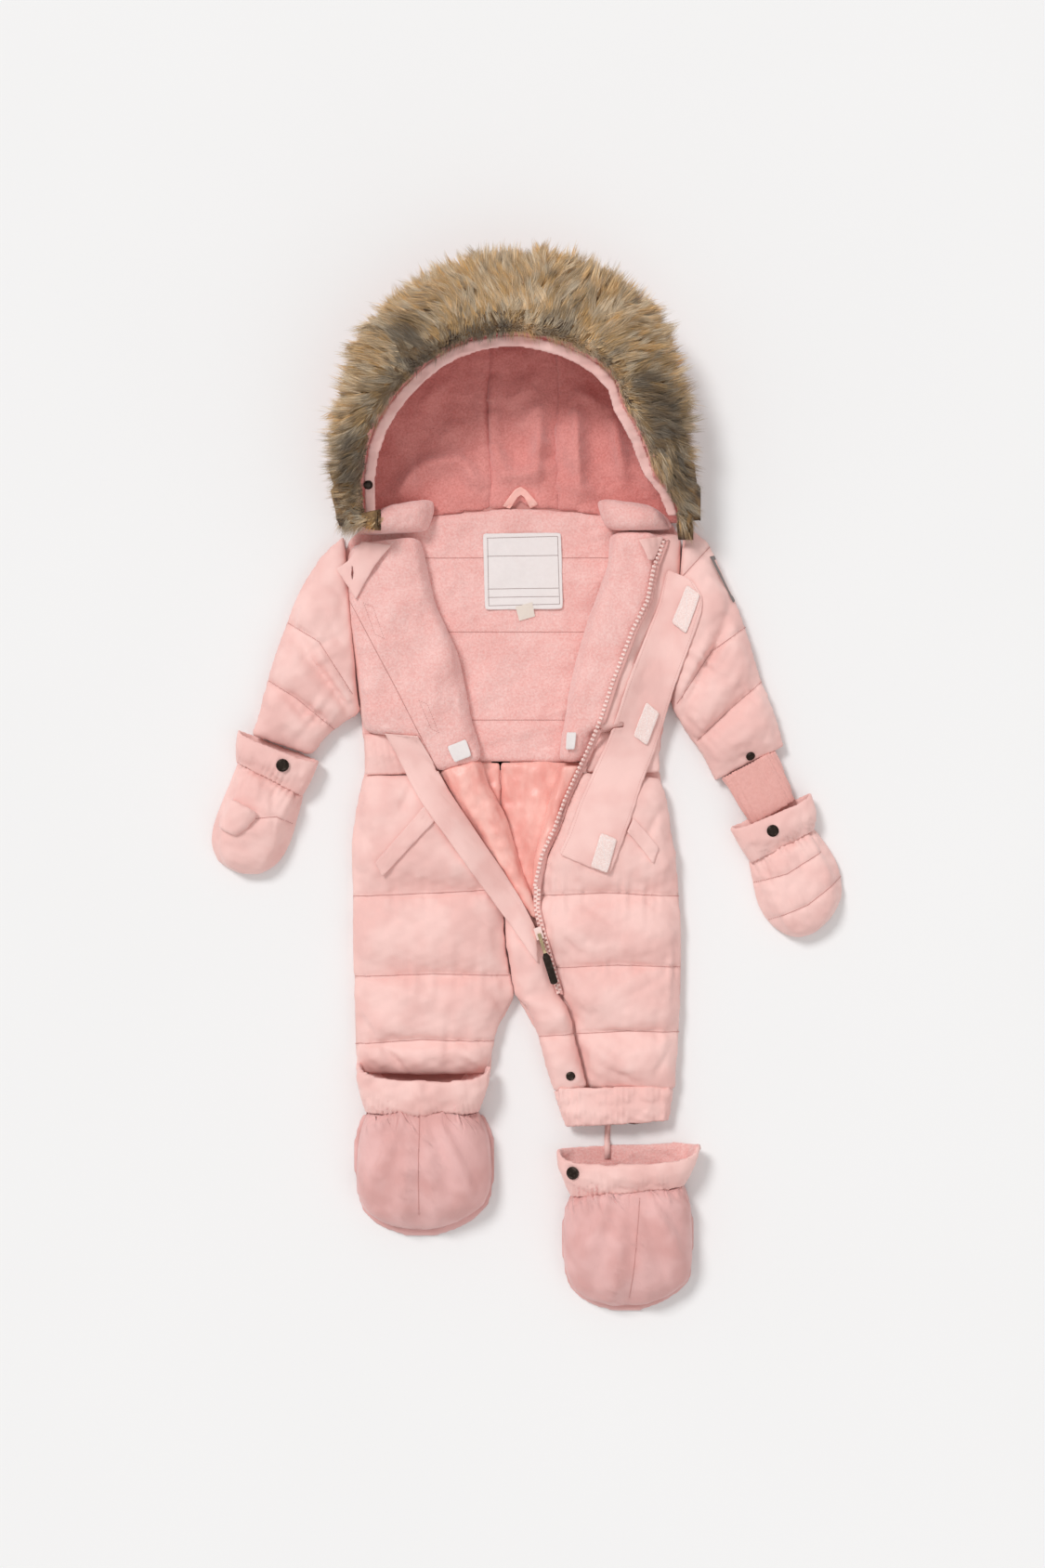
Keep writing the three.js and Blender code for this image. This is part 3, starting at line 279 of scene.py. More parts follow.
FINISH = {
    "shell": shell_cloth("shell", srgb("F2C1BA"), srgb("FACFC8")),
    "shell_shaded": shell_cloth("shell_shaded", srgb("DFA8A3"), srgb("EBB9B5")),
    "fleece": fleece_cloth("fleece", srgb("F1ADA6"), srgb("FED2CC")),
    # the body's fleece made darker for the hood's inside: painted shade of the hood's hollow
    "hood_fleece_painted_shade": fleece_cloth("hood_fleece_painted_shade", srgb("D67E77"), srgb("F0A29B")),
    "satin_lining": satin_cloth(),
    "rib_knit": rib_cloth(),
    "label_ribbon": ribbon("label_ribbon", srgb("F0E6E4"), srgb("FDF6F4")),
    "tag_ribbon": ribbon("tag_ribbon", srgb("F0E2D4"), srgb("F8EDE3")),
    "label_line": ribbon("label_line", srgb("A58F8D"), srgb("B5A19F")),
    # darker pink for seam lines and the sheets behind seams: painted shade of the seam grooves and of the gaps
    # between pieces
    "seam_shade": ribbon("seam_shade", srgb("C98A83"), srgb("D79A93")),
    "stitch": ribbon("stitch", srgb("E3A8A1"), srgb("EDB6AF")),
    "grey_label": ribbon("grey_label", srgb("6E6562"), srgb("8E8481")),
    "hook_tape": hook_cloth(),
    "zip_resin": resin(),
    "dark_metal": metal("dark_metal", srgb("38302B"), 0.35),
    "pale_brass": metal("pale_brass", srgb("B9A583"), 0.3),
    "elastic": dark_cloth(),
    "faux_fur": fur_hair(),
    "fur_backing": fur_backing(),
}


# Mesh helpers

def new_object(name, mesh):
    piece = bpy.data.objects.new(name, mesh)
    bpy.context.scene.collection.objects.link(piece)
    return piece


def mesh_piece(name, points, faces, finish, smooth=True):
    """A piece of the suit made from points and faces, in metres in the row frame."""
    mesh = bpy.data.meshes.new(name)
    mesh.from_pydata([tuple(p) for p in points], [], faces)
    mesh.validate()
    mesh.update()
    mesh.materials.append(FINISH[finish])
    piece = new_object(name, mesh)
    if smooth:
        mesh.shade_smooth()
    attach(piece, "suit")
    return piece


def tube_faces(first, levels):
    """Sides and ends of a square tube whose levels have four points each."""
    last = first + 4 * (levels - 1)
    faces = [(last, last + 1, last + 2, last + 3), (first + 3, first + 2, first + 1, first)]
    for k in range(first, last, 4):
        faces += [(k + j, k + (j + 1) % 4, k + (j + 1) % 4 + 4, k + j + 4) for j in range(4)]
    return faces


def cad_copy(node, name):
    """A CAD node's mesh as a new piece, without its finish."""
    piece = new_object(name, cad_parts[node].data.copy())
    piece.data.materials.clear()
    return piece


def rebuild(piece, kind, **settings):
    """Gives a piece the mesh that one modifier makes of its own."""
    step = piece.modifiers.new(kind.lower(), kind)
    for name, value in settings.items():
        setattr(step, name, value)
    held = piece.evaluated_get(bpy.context.evaluated_depsgraph_get())
    fine = bpy.data.meshes.new_from_object(held)
    piece.modifiers.remove(step)
    old, piece.data = piece.data, fine
    bpy.data.meshes.remove(old)


def remeshed(node, name, voxel, halved=0):
    """A finer closed mesh on a CAD node's form, as a new piece: rebuilt in small cells, or its faces halved."""
    piece = cad_copy(node, name)
    if halved:
        weld = bmesh.new()
        weld.from_mesh(piece.data)
        bmesh.ops.remove_doubles(weld, verts=weld.verts, dist=1e-6)
        weld.to_mesh(piece.data)
        weld.free()
        rebuild(piece, "SUBSURF", subdivision_type="SIMPLE", levels=halved)
    else:
        rebuild(piece, "REMESH", mode="VOXEL", voxel_size=voxel * MM, adaptivity=0)
    return piece


def rows_of(items, name, width=3, kind=float):
    """One property of all vertices, edges or faces, as rows of numbers."""
    flat = np.empty(len(items) * width, dtype=kind)
    items.foreach_get(name, flat)
    return flat.reshape(-1, width)


def points_of(mesh):
    return rows_of(mesh.vertices, "co")


def put_points(mesh, points):
    mesh.vertices.foreach_set("co", points.ravel())
    mesh.update()


def normals_of(mesh):
    return rows_of(mesh.vertex_normals, "vector")


def edges_of(mesh):
    return rows_of(mesh.edges, "vertices", 2, np.int64)


def unit(rows):
    return rows / np.linalg.norm(rows, axis=1)[:, None].clip(1e-9)


def dot(one, other):
    """The product of each row with the other's."""
    return (one * other).sum(axis=1)


def tree_of(places):
    tree = KDTree(len(places))
    for k, place in enumerate(places):
        tree.insert(place, k)
    tree.balance()
    return tree


def eased(points, edges, passes, share=0.6):
    """Points drawn towards their neighbours, which rounds facets off."""
    degree = np.bincount(edges.ravel(), minlength=len(points))[:, None].clip(1)
    for _ in range(passes):
        total = np.zeros_like(points)
        for axis in range(3):
            total[:, axis] = (
                np.bincount(edges[:, 0], points[edges[:, 1], axis], len(points))
                + np.bincount(edges[:, 1], points[edges[:, 0], axis], len(points))
            )
        points = points + share * (total / degree - points)
    return points


class Ripple:
    """Smooth seeded noise: a sum of plane waves whose lengths lie between two sizes in millimetres."""

    def __init__(self, short, long, count=14, stretch=(1, 1, 1)):
        length = np.exp(rng.uniform(math.log(short), math.log(long), count))
        way = rng.normal(size=(count, 3)) * np.array(stretch)
        way /= np.linalg.norm(way, axis=1)[:, None]
        self.wave = way * (2 * math.pi / (length * MM))[:, None]
        self.phase = rng.uniform(0, 2 * math.pi, count)
        self.count = count

    def at(self, points):
        return np.sin(points @ self.wave.T + self.phase).sum(axis=1) / math.sqrt(self.count / 2)


def along_line(points, line):
    """Distance to a line of places and the length along it, for many points, in millimetres."""
    flat = drafted(points)
    best = np.full(len(flat), 1e9)
    where = np.zeros(len(flat))
    total = 0.0
    for start, end in zip(line[:-1], line[1:]):
        start, end = np.array(start[:2], float), np.array(end[:2], float)
        way = end - start
        size = np.linalg.norm(way)
        share = ((flat - start) @ way / size**2).clip(0, 1)
        away = np.linalg.norm(flat - start - share[:, None] * way, axis=1)
        near = away < best
        best[near] = away[near]
        where[near] = total + share[near] * size
        total += size
    return best, where, total


def ruffle(where, short, long, count=5):
    """Uneven waves along a line."""
    waves = [
        np.sin(2 * math.pi * where / length + phase)
        for length, phase in zip(rng.uniform(short, long, count), rng.uniform(0, 2 * math.pi, count))
    ]
    return sum(waves) / math.sqrt(count)


def sewn_line(points, up, line, depth=3.0, width=2.2, pucker=1.6, reach=14.0, shoulder=9.0):
    """A stitched channel across a padded panel: a sharp line in a rounded valley, with puckers beside it."""
    away, where, _ = along_line(points, line)
    valley = -depth * (0.45 * np.exp(-((away / width) ** 2)) + 0.55 * np.exp(-away / shoulder))
    waves = ruffle(where, 8, 24) * (0.6 + 0.4 * ruffle(where, 60, 140, 3))
    return (valley + pucker * waves * np.exp(-away / reach) * (1 - np.exp(-away / 2.5))) * up


def gathers(points, up, line, depth, reach, short=7, long=16, dip=2.0, width=5.0):
    """Cloth drawn together along a line: deep short folds across it that fade with distance."""
    away, where, _ = along_line(points, line)
    folds = np.abs(ruffle(where, short, long, 4)) - 0.7
    fade = np.exp(-((away / reach) ** 1.5))
    return (depth * folds * fade - dip * np.exp(-((away / width) ** 2))) * up


def crease(points, up, rows):
    """Soft troughs and ridges, given one by one: x1 y1 x2 y2, height and width in millimetres."""
    total = np.zeros(len(points))
    for x1, y1, x2, y2, height, width in rows:
        away, where, size = along_line(points, [(x1, y1), (x2, y2)])
        fade = np.sin(math.pi * (where / size).clip(0.04, 0.96)) ** 0.6
        total += height * fade * np.exp(-((away / width) ** 1.6))
    return total * up


SEWN = []  # piece and its quilting lines, to be threaded once every piece is made
SLOW, FINE = (34, 90), (9, 24)  # mm between the waves of the cloth's drift and of its wrinkles
TOUCHING = 0.0006  # m above a piece's lowest point, where it keeps to the surface


def cloth_piece(node, name, voxel=3.0, ease=4, seams=(), folds=(), drawn=(), swell=0.3, fine=0.35,
                slow=0.9, seam_depth=5.0, pucker=2.0, halved=0, inner=None, wall=0, edge=0.7):
    """A piece of cloth on its node's form, finely meshed, rounded, then sewn and creased.

    Lengths are in millimetres. The side that is worked on looks up, or toward the place `inner`;
    `edge` is the lift of the other sides, and a `wall` of that thickness isn't pressed through.
    """
    piece = remeshed(node, name, voxel, halved)
    mesh = piece.data
    start = points_of(mesh)
    points = eased(start, edges_of(mesh), ease)
    put_points(mesh, points)
    normals = normals_of(mesh)
    up = normals[:, 2].clip(0, 1) ** 0.5
    if inner is not None:
        up = (dot(unit(inner - points), normals) * 2.5).clip(0, 1)
    lift = edge * (1 - up) + swell * up
    lift = lift + slow * up * Ripple(*SLOW).at(points) + fine * up * Ripple(*FINE).at(points)
    for line in seams:
        lift = lift + sewn_line(points, up, line, seam_depth, pucker=pucker)
    for line, depth, reach in drawn:
        lift = lift + gathers(points, up, line, depth, reach)
    lift = lift + crease(points, up, folds)
    if wall:
        lift = np.maximum(lift, -0.35 * wall)
    points = points + normals * (lift * MM)[:, None]
    low = start[:, 2].min()
    points[:, 2] = np.maximum(points[:, 2], low)
    resting = start[:, 2] < low + TOUCHING
    points[resting, 2] = start[resting, 2]
    put_points(mesh, points)
    mesh.shade_smooth()
    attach(piece, "suit")
    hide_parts(node)
    if seams:
        SEWN.append((name, seams))
    return piece


def finish_in(piece, *names):
    for name in names:
        piece.data.materials.append(FINISH[name])


def sided(piece, choose):
    """Gives each face the finish whose number choose(centres, normals) returns."""
    faces = piece.data.polygons
    picked = choose(rows_of(faces, "center"), rows_of(faces, "normal"))
    faces.foreach_set("material_index", picked.astype(np.int32))
    piece.data.update()


# Padded panels

def padded_piece(node, name, fill, *finishes, choose=None, **shape):
    """A wadded piece of cloth; with two finishes, `choose` says which faces have the second."""
    piece = cloth_piece(node, name, **shape)
    finish_in(piece, *finishes)
    if choose:
        sided(piece, choose)


LEG_FOLDS_LEFT = [
    (-156, -275, -126, -307, -6.4, 4), (-170, -280, -148, -300, 4.0, 6), (-120, -60, -60, -95, 3.2, 9),
    (-180, -40, -150, -90, -4.0, 7), (-100, -30, -60, -80, -3.2, 6), (-172, -120, -120, -150, -2.6, 6),
    (-60, -130, -25, -160, -3.5, 6), (-150, -215, -90, -235, 2.9, 9), (-70, -280, -45, -300, 4.0, 5),
    (-35, -215, -20, -250, -4.0, 6), (-180, -245, -160, -265, -3.2, 5), (-120, 5, -135, -30, -3.2, 4),
]
LEG_FOLDS_RIGHT = [
    (150, -20, 120, -70, -4.0, 6), (165, -60, 140, -95, 3.5, 8), (60, -125, 100, -150, -3.2, 6),
    (45, -200, 80, -240, 3.2, 8), (150, -200, 110, -225, -2.9, 7), (70, -275, 100, -300, 3.5, 6),
    (160, -275, 140, -310, -3.8, 5), (85, -300, 120, -318, -3.2, 4), (40, -160, 60, -185, -3.2, 5),
]


def torso_and_legs():
    padded_piece("back_upper", "back_lining", 0.4, "fleece", "shell", seams=[
        [(-165, 247), (165, 247)], [(-165, 167), (165, 167)], [(-165, 72), (160, 72)],
    ], folds=[
        (-30, 60, 20, 66, 2.2, 9), (-40, 120, -10, 150, 1.5, 12), (20, 100, 34, 60, -1.5, 8),
        (-70, 240, -50, 180, -1.5, 8), (60, 240, 48, 170, -1.5, 8),
    ], seam_depth=1.0, pucker=0.5, choose=lambda centres, normals: normals[:, 2] < 0.3)
    seat_folds = [
        (-20, 20, 10, -140, 2.5, 6), (-45, 10, -15, -60, -2.0, 5), (20, 15, 0, -60, 2.4, 5),
        (-10, -40, 12, -70, -2.2, 5), (-28, -50, -2, -80, 2.0, 5), (5, -20, 25, -45, -2.0, 5),
    ]
    corner, far_side = spot(-95, -170), spot(60, 0)

    def plain(centres, normals):
        x, y, _ = centres.T
        return (normals[:, 2] < 0.3) | (x < corner.x) | (x > far_side.x) | (y < corner.y)

    for side in ("left", "right"):
        padded_piece(f"back_leg_{side}", f"seat_lining_{side}", 0.4, "satin_lining", "shell", choose=plain,
                     folds=seat_folds, slow=1.2, fine=0.7, seam_depth=1.6,
                     seams=[[(-26, 26), (-25, -80), (-22, -150)]])
    legs = {
        "front_leg_left": (
            [[(-190, -118), (-120, -115), (-18, -110)], [(-190, -204), (-100, -201), (-10, -203)],
             [(-190, -277), (-110, -271), (-25, -274)]],
            LEG_FOLDS_LEFT,
        ),
        "front_leg_right_inner": (
            [[(10, -269), (60, -265)]],
            [(30, -240, 50, -262, 2, 5), (20, -170, 28, -190, -1.5, 5)],
        ),
        "front_leg_right": (
            [[(10, -117), (90, -114), (170, -118)], [(28, -195), (100, -191), (172, -194)],
             [(50, -266), (110, -262), (170, -264)]],
            LEG_FOLDS_RIGHT,
        ),
    }
    for node, (seams, folds) in legs.items():
        padded_piece(node, f"{node}_shell", 0.6, "shell", seams=seams, folds=folds, swell=1.0)
    for side in ("left", "right"):
        padded_piece(f"waistband_{side}", f"waistband_{side}_shell", 0.4, "shell",
                     voxel=1.8, ease=2, slow=0.3, fine=0.2)


CHAIN = [
    (155.5, 277.5), (147, 251), (140.5, 236), (133, 198), (117, 166), (106, 137), (96, 111), (84, 73),
    (72, 44), (57, 12), (45, -14), (33, -48), (21, -72), (13.5, -106), (13, -131), (18, -152), (27.5, -187),
    (37.5, -222),
]


def right_of_chain(centres, normals):
    x, y = drafted(centres).T
    chain_x, chain_y = np.array(CHAIN)[::-1].T
    return x > np.interp(y, chain_y, chain_x)


def fronts():
    left = cloth_piece("front_upper_left", "front_lining_fold_left", ease=19, edge=1.8, folds=[
        (-95, 215, -78, 150, 2.0, 7), (-110, 200, -100, 150, -1.6, 7), (-130, 120, -90, 90, 1.8, 10),
        (-150, 190, -130, 150, 1.4, 9), (-80, 100, -62, 70, -1.6, 6),
    ], slow=1.3)
    finish_in(left, "fleece", "shell")
    sided(left, lambda centres, normals: (normals[:, 0] < -0.5) & (centres[:, 2] < 0.026))
    right = cloth_piece("front_upper_right", "front_lining_fold_right", ease=19, edge=1.8, folds=[
        (85, 235, 70, 190, 1.8, 7), (66, 170, 58, 120, -1.6, 6), (110, 230, 90, 180, -1.4, 7),
        (60, 110, 50, 70, 1.6, 6),
    ], slow=1.3)
    finish_in(right, "fleece", "shell")
    sided(right, right_of_chain)
    for side in ("left", "right"):
        padded_piece(f"front_lining_{side}", f"satin_fold_{side}", 0.4, "satin_lining",
                     voxel=1.8, ease=5, slow=1.2, fine=0.6)
        padded_piece(f"collar_{side}", f"collar_{side}_fleece", 0.5, "fleece",
                     voxel=2.2, ease=22, slow=1.8, swell=1.5, edge=2.2)


def sleeves():
    rows = {
        "left": (
            [[(-256, 177), (-220, 155), (-185, 100)], [(-282, 118), (-245, 95), (-203, 60)]],
            [(-230, 220, -195, 150, -3, 7), (-240, 200, -215, 150, 2.5, 7), (-215, 235, -190, 190, -2.5, 7),
             (-205, 105, -188, 82, -3, 5), (-260, 130, -225, 110, 2.2, 6), (-250, 90, -225, 62, -2.5, 5),
             (-285, 100, -260, 80, 1.8, 5), (-225, 140, -195, 110, 2.2, 6)],
        ),
        "right": (
            [[(170, 227), (199, 258)], [(164, 90), (200, 145), (238, 172)], [(186, 50), (222, 85), (256, 114)]],
            [(180, 150, 215, 190, -2.6, 6), (175, 120, 205, 160, 2.4, 6), (190, 110, 225, 150, -2.6, 6),
             (200, 90, 240, 130, 2.2, 6), (205, 60, 245, 95, -2.4, 6), (215, 40, 255, 70, 1.8, 6),
             (215, 20, 245, 40, -1.6, 5), (185, 215, 215, 240, -1.6, 7)],
        ),
    }
    for side, (seams, folds) in rows.items():
        padded_piece(f"sleeve_{side}_front", f"sleeve_{side}_shell", 0.5, "shell",
                     seams=seams, folds=folds, swell=1.0)
        padded_piece(f"sleeve_{side}_back", f"sleeve_{side}_under", 0.5, "shell", slow=0.2, fine=0.2)


HOOD_HEART = np.array(spot(-5, 352, 62))


def outside_hood(centres, normals):
    return dot(unit(HOOD_HEART - centres), normals) < -0.55


def hood():
    folds = {
        "hood_side_left": [
            (-142, 312, -112, 346, 14, 11), (-118, 344, -62, 354, 15, 11), (-70, 354, -44, 318, 13, 10),
            (-50, 425, -42, 340, 7, 8), (-118, 405, -84, 438, 8, 12), (-100, 372, -64, 392, 6, 12),
        ],
        "hood_crown": [
            (-34, 450, -34, 370, 11, 8), (-34, 376, -18, 322, 12, 9), (-10, 380, 26, 424, 9, 12),
            (-24, 408, 10, 440, 7, 10), (18, 404, 12, 334, 15, 8), (-22, 334, 24, 340, 12, 9),
            (10, 372, 30, 366, 6, 8),
        ],
        "hood_side_right": [
            (54, 414, 60, 318, 17, 9), (96, 404, 108, 326, 15, 10), (40, 396, 50, 340, 9, 8),
            (48, 432, 88, 408, 8, 9), (40, 326, 78, 316, 9, 9), (116, 350, 146, 312, 8, 8),
        ],
    }
    # the inside faces take the darker fleece, painted shade of the hood's hollow
    for node, rows in folds.items():
        padded_piece(node, f"{node}_padded", 0.3, "hood_fleece_painted_shade", "shell", choose=outside_hood, voxel=2.7,
                     folds=rows, slow=1.0, fine=0.4, inner=HOOD_HEART, swell=0.8, wall=4, edge=2.6)
    facing = cloth_piece("hood_facing", "hood_facing_strip", voxel=1.6, ease=2, slow=0.5, fine=0.5)
    finish_in(facing, "shell")


# Mittens, booties and bands

def ends():
    mitten_rows = {
        "mitten_left_cuff": (
            [], [(-290, 40, -288, 10, -2, 4), (-265, 30, -262, 2, 2, 5), (-240, 25, -246, -5, -2, 4)],
        ),
        "mitten_left_hand": (
            [[(-287, -34), (-266, -32), (-250, -40)]],
            [(-300, 20, -305, -10, -3, 4), (-285, 12, -288, -15, 2.5, 5), (-268, 2, -270, -22, -3, 4),
             (-252, -6, -255, -28, 2.5, 4), (-320, -40, -300, -75, -1.5, 8)],
        ),
        "mitten_left_thumb": ([], []),
        "mitten_right_cuff": (
            [], [(240, -60, 248, -80, -2, 4), (268, -50, 272, -66, 2, 5), (295, -30, 300, -52, -2, 4)],
        ),
        "mitten_right_hand": (
            [[(248, -103), (281, -93), (318, -70)], [(264, -143), (302, -127), (341, -97)]],
            [(252, -84, 262, -104, -3, 4), (270, -76, 282, -98, 2.5, 5), (290, -66, 300, -90, -3, 4),
             (306, -56, 320, -80, 2.2, 4), (280, -110, 300, -122, 1.8, 7)],
        ),
    }
    wrist = {"left": [(-318, 30), (-272, 8), (-232, -14)], "right": [(236, -88), (278, -66), (318, -40)]}
    for node, (seams, folds) in mitten_rows.items():
        side = "left" if "left" in node else "right"
        drawn = [] if "thumb" in node else [(wrist[side], 2.2, 15)]
        padded_piece(node, f"{node}_shell", 0.6, "shell", voxel=2.2, seams=seams, folds=folds, ease=5, slow=0.7,
                     seam_depth=2.5, drawn=drawn, wall=3.5 if "cuff" in node else 0)
    fan = {  # each bootie's mouth, and the outer ends of the folds that spread from it, with height and width
        "left": (-111, -350, [
            (-178, -372, 5, 6), (-174, -400, -4, 6), (-168, -432, 6, 7), (-150, -456, -4, 6), (-132, -474, 5, 6),
            (-92, -472, 5, 6), (-76, -456, -4, 6), (-56, -434, 6, 7), (-46, -404, -4, 6), (-40, -374, 5, 6),
        ]),
        "right": (112, -432, [
            (44, -456, 5, 6), (46, -486, -4, 6), (54, -516, 6, 7), (70, -540, -4, 6), (94, -556, 5, 6),
            (132, -554, 5, 6), (152, -538, -4, 6), (170, -512, 6, 7), (178, -484, -4, 6), (178, -456, 5, 6),
        ]),
    }
    cinch = {
        "left": [(-180, -348), (-110, -356), (-40, -348)],
        "right": [(40, -438), (114, -430), (180, -424)],
    }
    centre = {
        "left": [(-112, -352), (-113, -420), (-113, -458)],
        "right": [(122, -438), (117, -500), (112, -548)],
    }
    for side, (x, y, spokes) in fan.items():
        folds = [(x + 0.35 * (tx - x), y + 0.05 * (ty - y), tx, ty, h, w) for tx, ty, h, w in spokes]
        heart = np.mean(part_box(f"bootie_{side}_cuff"), axis=0)

        def inside(centres, normals):
            return dot((heart - centres) * (1, 0.2, 1), normals) > 0.0005

        padded_piece(f"bootie_{side}_upper", f"bootie_{side}_upper_shell", 0.5, "shell_shaded", halved=2, ease=2,
                     folds=folds, slow=1.0, seams=[centre[side]], seam_depth=2.2, pucker=1.8,
                     drawn=[(cinch[side], 3.2, 20)], wall=6, edge=0.4)
        padded_piece(f"bootie_{side}_cuff", f"bootie_{side}_cuff_shell", 0.5, "shell", "fleece", choose=inside,
                     voxel=2.4, slow=1.2, fine=0.6, drawn=[(cinch[side], 2.6, 16)], wall=4)
        padded_piece(f"bootie_{side}_sole", f"bootie_{side}_sole_shell", 0.5, "shell_shaded", ease=3, slow=0.3)
    padded_piece("hem_band", "hem_band_shell", 0.3, "shell", voxel=2.0, ease=1, slow=0.5, fine=0.7, wall=4,
                 drawn=[([(20, -345), (170, -342)], 2.4, 24)])


RIB_WAY = (0.87, 0.49)  # across the ribs of the knitted cuff
RIB_PITCH = 3.4
RIB_HEIGHT = 0.6


def rib_cuff():
    rib = cloth_piece("rib_cuff", "rib_cuff_knit", voxel=1.6, ease=1, slow=0.2, fine=0.0)
    mesh = rib.data
    points = points_of(mesh)
    waves = np.sin(2 * math.pi * (drafted(points) @ RIB_WAY) / RIB_PITCH)
    points = points + normals_of(mesh) * (RIB_HEIGHT * MM * waves)[:, None]
    points[:, 2] = np.maximum(points[:, 2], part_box("rib_cuff")[0][2])
    put_points(mesh, points)
    finish_in(rib, "rib_knit")


# Lines of stitches and small things that follow a surface

DROP_FROM = 200  # mm, above every piece


class Ground:
    """Finds the top of the pieces already made."""

    def __init__(self):
        self.trees = {}

    def tree(self, piece):
        if piece.name not in self.trees:
            build = bmesh.new()
            build.from_mesh(piece.data)
            self.trees[piece.name] = BVHTree.FromBMesh(build)
            build.free()
        return self.trees[piece.name]

    def drop(self, x, y, names):
        """The highest hit straight below a drafting place, with its normal."""
        best = None
        for name in names:
            tree = self.tree(bpy.data.objects[name])
            hit, normal, _, _ = tree.ray_cast(spot(x, y, DROP_FROM), Vector((0, 0, -1)))
            if hit is not None and (best is None or hit.z > best[0].z):
                best = (hit, normal if normal.z > 0 else -normal)
        return best

    def trail(self, place, way, names):
        """The hit below a place of a line, the normal, the line's way on there and the way across it."""
        found = self.drop(*place, names)
        if found is None:
            return None
        hit, normal = found
        run = Vector((*way, 0))
        run = (run - normal * run.dot(normal)).normalized()
        return hit, normal, run, normal.cross(run)


GROUND = Ground()


# Flaps, facings, tapes and labels: single layers, folded or laid flat

LAID = [
    # node, name, finish, flat size m, area of the cut m2, held, the cloth under it
    ("wind_flap", "wind_flap_fleece", "fleece", (0.028, 0.47), 0.0096, "laid",
     ["front_lining_fold_left", "satin_fold_left", "front_leg_left_shell", "waistband_left_shell",
      "front_leg_right_inner_shell", "front_leg_right_shell"]),
    ("storm_flap", "storm_flap_cloth", "shell", (0.058, 0.36), None, "laid",
     ["front_lining_fold_right", "front_leg_right_shell", "waistband_right_shell", "sleeve_right_shell"]),
    ("hook_tape_1", "hook_tape_top", "hook_tape", (0.018, 0.047), None, "laid", ["storm_flap_cloth"]),
    ("hook_tape_2", "hook_tape_middle", "hook_tape", (0.018, 0.040), None, "laid", ["storm_flap_cloth"]),
    ("hook_tape_3", "hook_tape_low", "hook_tape", (0.018, 0.041), None, "laid", ["storm_flap_cloth"]),
    ("main_label", "neck_label", "label_ribbon", (0.084, 0.082), None, "laid", ["back_lining"]),
    ("elastic_tab_left", "tab_left", "label_ribbon", (0.026, 0.016), None, "laid", ["front_lining_fold_left"]),
    ("elastic_tab_right", "tab_right", "label_ribbon", (0.018, 0.011), None, "laid", ["front_lining_fold_right"]),
    ("sleeve_label", "sleeve_label_loop", "grey_label", (0.010, 0.049), 0.00024, "laid", ["sleeve_right_shell"]),
    ("pocket_welt_left", "welt_left", "shell", (0.018, 0.088), None, "folded", ["front_leg_left_shell"]),
    ("pocket_welt_right", "welt_right", "shell", (0.016, 0.048), None, "folded",
     ["front_leg_right_shell", "storm_flap_cloth"]),
    ("collar_facing_left", "facing_left", "shell", (0.036, 0.075), 0.00187, "folded",
     ["front_lining_fold_left", "sleeve_left_shell"]),
    ("collar_facing_right", "facing_right", "shell", (0.018, 0.034), None, "folded", ["front_lining_fold_right"]),
    ("hanging_loop", "loop_tape", "satin_lining", (0.010, 0.050), None, "folded",
     ["hood_crown_padded", "back_lining"]),
]
NEAR = 6  # lower points of a laid piece that lift the points over them
LEVEL = (1, 1, 0)


def keep_over(piece, names, gap=0.25, most=4.0):
    """Lifts a thin piece, layer and all, wherever the cloth under it has come up through it."""
    mesh = piece.data
    points = points_of(mesh)
    lower = points[normals_of(mesh)[:, 2] < -0.2]
    need = np.zeros(len(lower))
    for row, point in enumerate(lower):
        found = GROUND.drop(*(point[:2] / MM - ORIGIN), names)
        if found is not None:
            need[row] = min(max(found[0].z + gap * MM - point[2], 0), most * MM)
    tree = tree_of(lower * LEVEL)
    for point in points:
        point[2] += max(need[row] for _, row, _ in tree.find_n(point * LEVEL, NEAR))
    put_points(mesh, points)


def laid_pieces():
    for node, name, finish, flat, area, held, under in LAID:
        ease = 14 if node == "storm_flap" else 2
        halved = 3 if node == "main_label" else 2
        piece = cloth_piece(node, name, halved=halved, ease=ease, slow=0.25, fine=0.12, edge=0)
        keep_over(piece, under)
        finish_in(piece, finish)
        if node == "wind_flap":
            finish_in(piece, "shell")
            below = spot(0, 72).y
            sided(piece, lambda centres, normals: centres[:, 1] < below)


def spaced(line, gap):
    """Places at even steps along a line, each with the way the line runs there."""
    places = []
    carry = 0.0
    for start, end in zip(line[:-1], line[1:]):
        start, end = np.array(start, float), np.array(end, float)
        size = np.linalg.norm(end - start)
        way = (end - start) / size
        along = carry
        while along < size:
            places.append((start + way * along, way))
            along += gap
        carry = along - size
    return places


STITCH = ((-0.5, 0.35, 0.1), (-0.2, 1, 0.9), (0.2, 1, 0.9), (0.5, 0.35, 0.1))  # along, width, height


def stitches(name, lines, on, finish="stitch", gap=2.9, length=2.0, thick=0.55, lift=0.05):
    """Sewing thread: a short rounded bar for each stitch, laid on the cloth."""
    points, faces = [], []
    for line in lines:
        for place, way in spaced(line, gap):
            found = GROUND.trail(place, way, on)
            if found is None:
                continue
            hit, normal, run, side = found
            centre = hit + normal * lift * MM
            first = len(points)
            for end, wide, high in STITCH:
                middle = centre + run * end * length * MM
                points.append(middle + side * wide * thick * 0.5 * MM)
                points.append(middle + normal * high * thick * 0.5 * MM)
                points.append(middle - side * wide * thick * 0.5 * MM)
            for k in range(3):
                a = first + 3 * k
                faces += [(a, a + 1, a + 4, a + 3), (a + 1, a + 2, a + 5, a + 4)]
    mesh_piece(name, points, faces, finish)


# Zip

